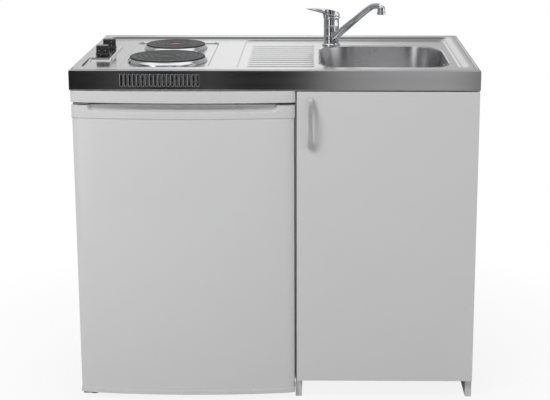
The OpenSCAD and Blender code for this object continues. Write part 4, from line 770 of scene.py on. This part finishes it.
one = np.ones(len(ring_r))
toward_tip = ring_dir[:, 0]
under_in = np.where(tongue > 0, blade_under(near_r * toward_tip), 6.0)
top_out = cap_top(ring_r * toward_tip)
under_out = np.where(tongue > 0, blade_under(ring_r * toward_tip), np.minimum(top_out - 2.0, 6.0))
under_in = np.where(tongue > 0, np.minimum(under_in, cap_top(near_r * toward_tip) - 2.5), under_out)
HOLLOW = [(0.02, 8), (21.3, 8), (21.6, 7.7), (21.6, 1.4), (21.8, 1.2), (22.4, 1.2), (22.7, 1.6)]
rows = [level(radius * one, height * one) for radius, height in HOLLOW]
rows += [level(near_r, under_in * 0.5 + 0.8), level(near_r, under_in - 0.6 * tongue)]
rows += [level(near_r + (ring_r - near_r) * t, under_in + (under_out - under_in) * t)
         for t in (0.12, 0.35, 0.65, 0.9)]
rows += [level(ring_r - 0.9 * (1 - k), under_out + (top_out - under_out) * h) for k, h in
         [(0.3, 0.02), (0.85, 0.22), (1.0, 0.5), (0.85, 0.78), (0.3, 0.97)]]
rows += [level(ring_r * t, cap_top(ring_r * toward_tip * t))
         for t in (0.9, 0.78, 0.64, 0.5, 0.36, 0.22, 0.1, 0.001)]
lever_grid = np.array(rows)
lever_grid[..., 2] += CAP
towards = math.pi + LEVER_TURN
c, s = math.cos(towards), math.sin(towards)
lever_x, lever_y, lever_z = np.moveaxis(lever_grid, -1, 0)
lever_xyz = np.stack([lever_x * c - lever_y * s, lever_x * s + lever_y * c, lever_z], -1) + TAP
show("tap_lever", [surface(lever_xyz, columns_closed=True)], "mixer_lever", "chrome", "chrome", ["lever"],
     sharp=48)

# %% [markdown]
# ## The bow handle
# A flat bow of satin nickel, waisted in the middle, standing on two round feet. A rounded
# section is carried along the bow's curve, and its size runs down to nothing at both tips.

# %% Handle
HANDLE_X, HANDLE_Z, DOOR_FRONT = 87.0, 719.0, 1.0
s_run = np.linspace(0, 1, 65)
tau = (1 - np.cos(np.pi * s_run)) / 2
mid_y = DOOR_FRONT - 2.5 - 23 * np.sqrt(np.sin(np.pi * np.clip(tau, 0, 1)))
mid_z = HANDLE_Z - 62.5 + 125 * tau
curve = np.stack([mid_y, mid_z], -1)
way = np.gradient(curve, axis=0)
way /= np.linalg.norm(way, axis=1, keepdims=True)
tips = np.sqrt(np.clip(1 - (1 - np.minimum(np.minimum(s_run, 1 - s_run) / 0.07, 1)) ** 2, 0, 1))
half_width = np.interp(np.abs(mid_z - HANDLE_Z), [0, 20, 55, 65], [5.4, 5.7, 6.6, 5.0]) * tips
half_thick = 2.5 * tips
a = np.linspace(0, 2 * np.pi, 28, endpoint=False)
ca, sa = np.cos(a), np.sin(a)
ca, sa = np.sign(ca) * np.abs(ca) ** 0.7, np.sign(sa) * np.abs(sa) ** 0.7
bow = np.stack([HANDLE_X + half_width[:, None] * ca, mid_y[:, None] - way[:, 1:] * half_thick[:, None] * sa,
                mid_z[:, None] + way[:, :1] * half_thick[:, None] * sa], -1)
foot = eased([(0, -15), (4.2, -15), (4.5, -3), (5.2, 1), (0, 1)], 0.6)
feet = [turned(foot, [HANDLE_X, 0, HANDLE_Z + side * 48], 32, along="y") for side in (-1, 1)]
show("door_handle", [surface(bow, columns_closed=True), *feet], "cabinet_door", "satin_nickel",
     "satin_nickel", ["bow_handle"])

# %% [markdown]
# ## The bowed refrigerator door
# The door is one slow curve from side to side, with tight rounded corners, in three parts: a
# painted panel between two plastic trims. The same plan outline carries all three, and the top
# trim is pushed back where the long grip recess is.

# %% Door outline
FR_MID, FR_W = -224.0, 546.0


def door_part(bottom, top, inset, bulge=18.0, width=FR_W, back=41.0, recess=None, soft=0.8, row_step=None):
    """The plan outline y = inset - bulge(1 - ss) + 5|s|^40, s from -1 to 1.

    It is folded back at both ends and raised from bottom to top.
    """
    half = width / 2 - inset
    s = np.sin(np.linspace(-np.pi / 2, np.pi / 2, 121))
    if recess:
        ends = [(recess[0] - FR_MID) / half, (recess[2] - FR_MID) / half]
        near_ends = [np.linspace(end - 14 / half, end + 14 / half, 29) for end in ends]
        s = np.unique(np.round(np.concatenate([s, *near_ends]), 6))
    xs = FR_MID + half * s
    ys = inset - bulge * (1 - s * s) + 5 * np.abs(s) ** 40
    side = np.linspace(ys[-1] + 4, back, 5)
    x_loop = np.concatenate([xs, 0 * side + xs[-1], xs[::-1], 0 * side + xs[0]])
    y_loop = np.concatenate([ys, side, 0 * xs + back, side[::-1]])
    zs = eased([(soft, bottom), (0, bottom), (0, top), (soft, top)], soft, 5)
    if row_step:
        inner = np.arange(bottom + 2 * soft, top - 2 * soft, row_step)
        zs = np.concatenate([zs[:6], np.stack([0 * inner, inner], -1), zs[6:]])
    middle = (back + ys.min()) / 2 + 6
    pull = np.sign(middle - y_loop)
    rows = np.stack([x_loop + 0 * zs[:, :1], y_loop + pull * zs[:, :1], zs[:, 1:] + 0 * x_loop], -1)
    if recess:
        sunk = smooth(inside(rows[..., 0], rows[..., 2], recess, 14) / 7)
        front = rows[..., 1] < 12
        rows[..., 1] = np.where(front, rows[..., 1] * (1 - sunk) + 12 * sunk, rows[..., 1])
    flat = rows[[0, -1]].copy()
    flat[..., 1] = middle
    return surface(np.concatenate([flat[:1], rows, flat[1:]]), columns_closed=True)


SKIN_IN = 1.5
show("fridge_door_panel", [door_part(29, 732, SKIN_IN, back=40.8)], "fridge_door", "white_sheet",
     "white_sheet", ["fdoor_skin"])
grip = [-456.5, 747, 8.5, 790]
show("fridge_door_top", [door_part(732, 763, 0, recess=grip, row_step=0.6)], "fridge_door",
     "white_plastic", "white_plastic", ["fdoor_top_trim"])
show("fridge_door_foot", [door_part(17, 29, 0)], "fridge_door", "white_plastic", "white_plastic",
     ["fdoor_bottom_trim"])
lid_strip = door_part(770, 798.5, 0, bulge=15.0, width=548.0, back=56.0, soft=2.0)
lid_plate = door_part(790, 794, 0, bulge=0.0, width=546.0, back=546.0, soft=0.8)
lid_plate[0][:, 1] = np.maximum(lid_plate[0][:, 1], 55.9)
show("fridge_lid_shell", [lid_strip, lid_plate], "unit", "white_plastic", "white_plastic", ["fridge_lid"])

# %% [markdown]
# ## Boards, sheet boxes and moulded boxes
# Flat boards and boxes are right as the CAD has them, but real edges are never knife-sharp: an
# edged board has a small round, folded sheet a tighter one and moulded plastic a softer one. A
# copy of the CAD mesh is welded, its flat faces are joined again, and a Bevel rounds its edges.

# %% Soft edges for CAD boxes
def softened(cad_name, finish_name, width, segments=3, sharp=35.0):
    """A welded copy of a CAD node with its edges rounded by that many millimetres. It stands for the node."""
    source = frame["nodes"][cad_name]
    mesh = source.data.copy()
    work = bmesh.new()
    work.from_mesh(mesh)
    bmesh.ops.remove_doubles(work, verts=work.verts, dist=1e-6)
    bmesh.ops.dissolve_limit(work, angle_limit=math.radians(0.5), verts=work.verts, edges=work.edges)
    work.to_mesh(mesh)
    work.free()
    mesh.materials.clear()
    crease(mesh, sharp)
    piece = place(f"{cad_name}_soft", mesh, source["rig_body"], finish_name, [cad_name])
    if width:
        edge = piece.modifiers.new("edge", "BEVEL")
        edge.width, edge.segments, edge.limit_method = width * MM, segments, "ANGLE"
        edge.angle_limit = math.radians(40)
        edge.harden_normals = True
    return piece


BOARDS = {"white_board": (0.6, ["cabinet_door", "side_left", "side_right", "cabinet_floor", "cabinet_rails",
                                "cabinet_back"])}
SHEETS = {"white_sheet": (0.8, ["fridge_body"])}
MOULDED = {"white_plastic": (1.6, ["fridge_liner", "ice_box", "thermostat_box", "fdoor_liner"])}
for slot_name, (width, names) in {**BOARDS, **SHEETS, **MOULDED}.items():
    for cad_name in names:
        softened(cad_name, slot_name, width)
softened("carrier_battens", "white_board", 0.4)

# %% [markdown]
# ## Everything that keeps its CAD shape
# Pipes, clamps, hinges, feet and the parts behind keep the CAD surface. Each gets its finish.

# %% Finishes for the rest
KEPT = {
    "chrome": ["waste_flange", "strainer", "overflow_rosette"],
    "grey_plastic": ["waste_body", "bottle_trap", "outlet_pipe", "overflow_pipe", "drip_tray",
                     "thermostat_knob"],
    "zinc": ["hob_tray", "plate_clamps", "handle_screws", "hinge_cups", "hinge_arms", "hinge_links",
             "upper_hinge"],
    "black_plastic": ["terminal_box", "fridge_feet"],
    "bakelite": ["hob_switches"],
    "brass": ["tap_shank", "spindle"],
    "copper": ["tap_tails"],
    "gasket_rubber": ["fdoor_gasket"],
    "black_enamel": ["lower_hinge", "compressor", "condenser"],
    "shelf_glass": ["glass_shelves"],
    "clear_plastic": ["crisper", "door_racks", "ice_flap"],
}
for finish_name, names in KEPT.items():
    for cad_name in names:
        kept = frame["nodes"][cad_name]
        if not kept.material_slots:
            kept.data.materials.append(None)
        for entry in kept.material_slots:
            entry.link = "OBJECT"
            entry.material = finishes[finish_name]
print(sum(map(len, KEPT.values())), "CAD nodes keep their shape")

# %% [markdown]
# ## Floor, studio walls and lamps
# The floor is pale and round. The camera sees it mostly as plain white, and wholly so from 1.15 m
# out, so that it has no edge in the picture while it still takes the unit's shadow. The studio
# walls are a dome that only reflections see, with greys along three ramps: in front, behind and
# overhead. The ramp in front was corrected against the photograph, so that the apron's light and
# dark stretches lie as in it. Three large soft lamps light the unit, and reflections don't show
# them.

# %% Floor and studio walls
def stage_piece(name, grid, material):
    """A surface in metres that isn't part of the object."""
    points, faces = grid
    mesh = bpy.data.meshes.new(name)
    mesh.from_pydata(points, [], faces.tolist())
    mesh.polygons.foreach_set("use_smooth", np.ones(len(mesh.polygons), bool))
    mesh.materials.append(material)
    made = bpy.data.objects.new(name, mesh)
    bpy.context.scene.collection.objects.link(made)
    return made


FLOOR_R = 2.4
rad = np.linspace(0, FLOOR_R, 25)[:, None]
turn = np.linspace(0, 2 * np.pi, 96, endpoint=False)[None, :]
floor_grid = surface(np.stack([rad * np.cos(turn), rad * np.sin(turn), 0 * rad * turn - 0.0005], -1),
                     columns_closed=True)
floor_paint = bpy.data.materials.new("pale_floor")
floor_paint.use_nodes = True
tree = floor_paint.node_tree
tree.nodes.clear()
coords = node(tree, "ShaderNodeTexCoord")
length = node(tree, "ShaderNodeVectorMath", operation="LENGTH")
fade = node(tree, "ShaderNodeMapRange", From_Min=0.5, From_Max=1.15, To_Min=0.87, To_Max=1.0)
path = node(tree, "ShaderNodeLightPath")
amount = node(tree, "ShaderNodeMath", operation="MULTIPLY")
speck = node(tree, "ShaderNodeGroup", node_tree=mottle_group)
speck.inputs["Scale"].default_value = 3.0
speck.inputs["Light"].default_value = (0.58, 0.58, 0.58, 1)
speck.inputs["Dark"].default_value = (0.56, 0.56, 0.56, 1)
matt = node(tree, "ShaderNodeBsdfDiffuse")
glow = node(tree, "ShaderNodeEmission", Strength=1.0)
mix = node(tree, "ShaderNodeMixShader")
wire(tree, (coords, "Object"), (length, 0))
wire(tree, (coords, "Object"), (speck, "Vector"))
wire(tree, (length, "Value"), (fade, 0))
wire(tree, (fade, 0), (amount, 0))
wire(tree, (path, "Is Camera Ray"), (amount, 1))
wire(tree, (amount, 0), (mix, 0))
wire(tree, (speck, "Color"), (matt, "Color"))
wire(tree, (matt, 0), (mix, 1))
wire(tree, (glow, 0), (mix, 2))
wire(tree, (mix, 0), (node(tree, "ShaderNodeOutputMaterial"), 0))
stage_piece("floor", floor_grid, floor_paint)

DOME_R, DOME_FOOT = 7.0, -3.2
azimuth = np.linspace(0, 2 * np.pi, 96, endpoint=False)[None, :]
height = DOME_R * np.sin(np.linspace(math.asin(DOME_FOOT / DOME_R), np.pi / 2, 30))[:, None]
dome_flat = np.sqrt(np.maximum(DOME_R**2 - height**2, 1e-6))
dome_points = np.stack([dome_flat * np.cos(azimuth), dome_flat * np.sin(azimuth), height + 0 * azimuth], -1)
dome_grid = surface(dome_points, columns_closed=True)


def grey_ramp(tree, stops):
    """A colour ramp of greys from (position, value) pairs."""
    ramp = node(tree, "ShaderNodeValToRGB")
    for position, value in stops[1:-1]:
        ramp.color_ramp.elements.new(position)
    for element, (position, value) in zip(ramp.color_ramp.elements, stops):
        element.position = position
        element.color = (value, value, value, 1)
    return ramp


APRON_SEES = [(0.0, 0.20), (0.185, 0.04), (0.21, 1.6), (0.275, 1.6), (0.295, 0.03), (0.375, 0.015),
              (0.397, 0.02), (0.401, 0.17), (0.406, 0.15), (0.413, 0.02), (0.442, 0.02), (0.447, 0.14),
              (0.453, 0.14), (0.460, 0.015), (0.501, 0.015), (0.511, 0.30), (0.525, 0.42), (0.55, 0.48),
              (0.580, 0.58), (0.588, 0.50), (0.597, 0.15), (0.64, 0.03), (0.70, 0.02), (0.72, 0.4),
              (0.745, 0.4), (0.77, 0.03), (0.90, 0.03), (0.94, 1.2), (1.0, 1.2)]
BACKDROP = [(0.0, 0.25), (0.25, 0.50), (0.36, 0.62), (0.41, 0.70), (0.445, 0.97), (0.49, 1.0),
            (0.52, 0.85), (0.56, 0.56), (0.60, 0.52), (0.8, 0.40), (1.0, 0.3)]
CEILING = [(0.0, 0.08), (0.20, 0.08), (0.27, 1.1), (0.53, 1.1), (0.60, 0.24), (0.85, 0.20), (1.0, 0.45)]
wall_paint = bpy.data.materials.new("studio_walls")
wall_paint.use_nodes = True
tree = wall_paint.node_tree
tree.nodes.clear()
coords = node(tree, "ShaderNodeTexCoord")
split = node(tree, "ShaderNodeSeparateXYZ")
across = node(tree, "ShaderNodeMapRange", From_Min=-DOME_R, From_Max=DOME_R)
forth = node(tree, "ShaderNodeMapRange", From_Min=-DOME_R, From_Max=DOME_R)
to_back = node(tree, "ShaderNodeMapRange", From_Min=-0.6, From_Max=0.6)
lifted = node(tree, "ShaderNodeMapRange", From_Min=0.0, From_Max=0.9)
behind = node(tree, "ShaderNodeMath", operation="MULTIPLY")
to_ceiling = node(tree, "ShaderNodeMapRange", From_Min=4.4, From_Max=5.5)
wire(tree, (coords, "Object"), (split, 0))
for axis, target in [("X", across), ("Y", forth), ("Y", to_back), ("Z", lifted), ("Z", to_ceiling)]:
    wire(tree, (split, axis), (target, 0))
around = node(tree, "ShaderNodeMix", data_type="RGBA")
over = node(tree, "ShaderNodeMix", data_type="RGBA")
seen_in = {"front": (APRON_SEES, across), "behind": (BACKDROP, across), "above": (CEILING, forth)}
ramps = []
for stops, direction in seen_in.values():
    ramps.append(grey_ramp(tree, stops))
    wire(tree, (direction, 0), (ramps[-1], 0))
wire(tree, (to_back, 0), (behind, 0))
wire(tree, (lifted, 0), (behind, 1))
wire(tree, (behind, 0), (around, 0))
wire(tree, (ramps[0], 0), (around, 6))
wire(tree, (ramps[1], 0), (around, 7))
wire(tree, (to_ceiling, 0), (over, 0))
wire(tree, (around, 2), (over, 6))
wire(tree, (ramps[2], 0), (over, 7))
glow = node(tree, "ShaderNodeEmission", Strength=1.0)
wire(tree, (over, 2), (glow, "Color"))
wire(tree, (glow, 0), (node(tree, "ShaderNodeOutputMaterial"), 0))
dome = stage_piece("studio_walls", dome_grid, wall_paint)
dome.visible_camera = dome.visible_diffuse = dome.visible_shadow = dome.visible_transmission = False


# %% Lamps
def softbox(name, place_at, aim, size, power):
    """A square area lamp at a place, turned to a point. Reflections meet the studio walls, not the lamp."""
    lamp = bpy.data.lights.new(name, "AREA")
    lamp.shape, lamp.size, lamp.energy = "SQUARE", size, power
    made = bpy.data.objects.new(name, lamp)
    made.location = place_at
    way = np.subtract(aim, place_at)
    flat = math.hypot(way[0], way[1])
    made.rotation_euler = (math.atan2(flat, -way[2]), 0, math.atan2(way[1], way[0]) - math.pi / 2)
    bpy.context.scene.collection.objects.link(made)
    made.visible_glossy = False


MIDDLE = (0, 0, 0.6)
softbox("key", (-1.6, -2.5, 3.2), MIDDLE, 1.6, 76)
softbox("fill", (2.4, -3.0, 2.0), MIDDLE, 2.2, 11)
softbox("back", (0.2, 2.4, 3.2), MIDDLE, 2.0, 70)
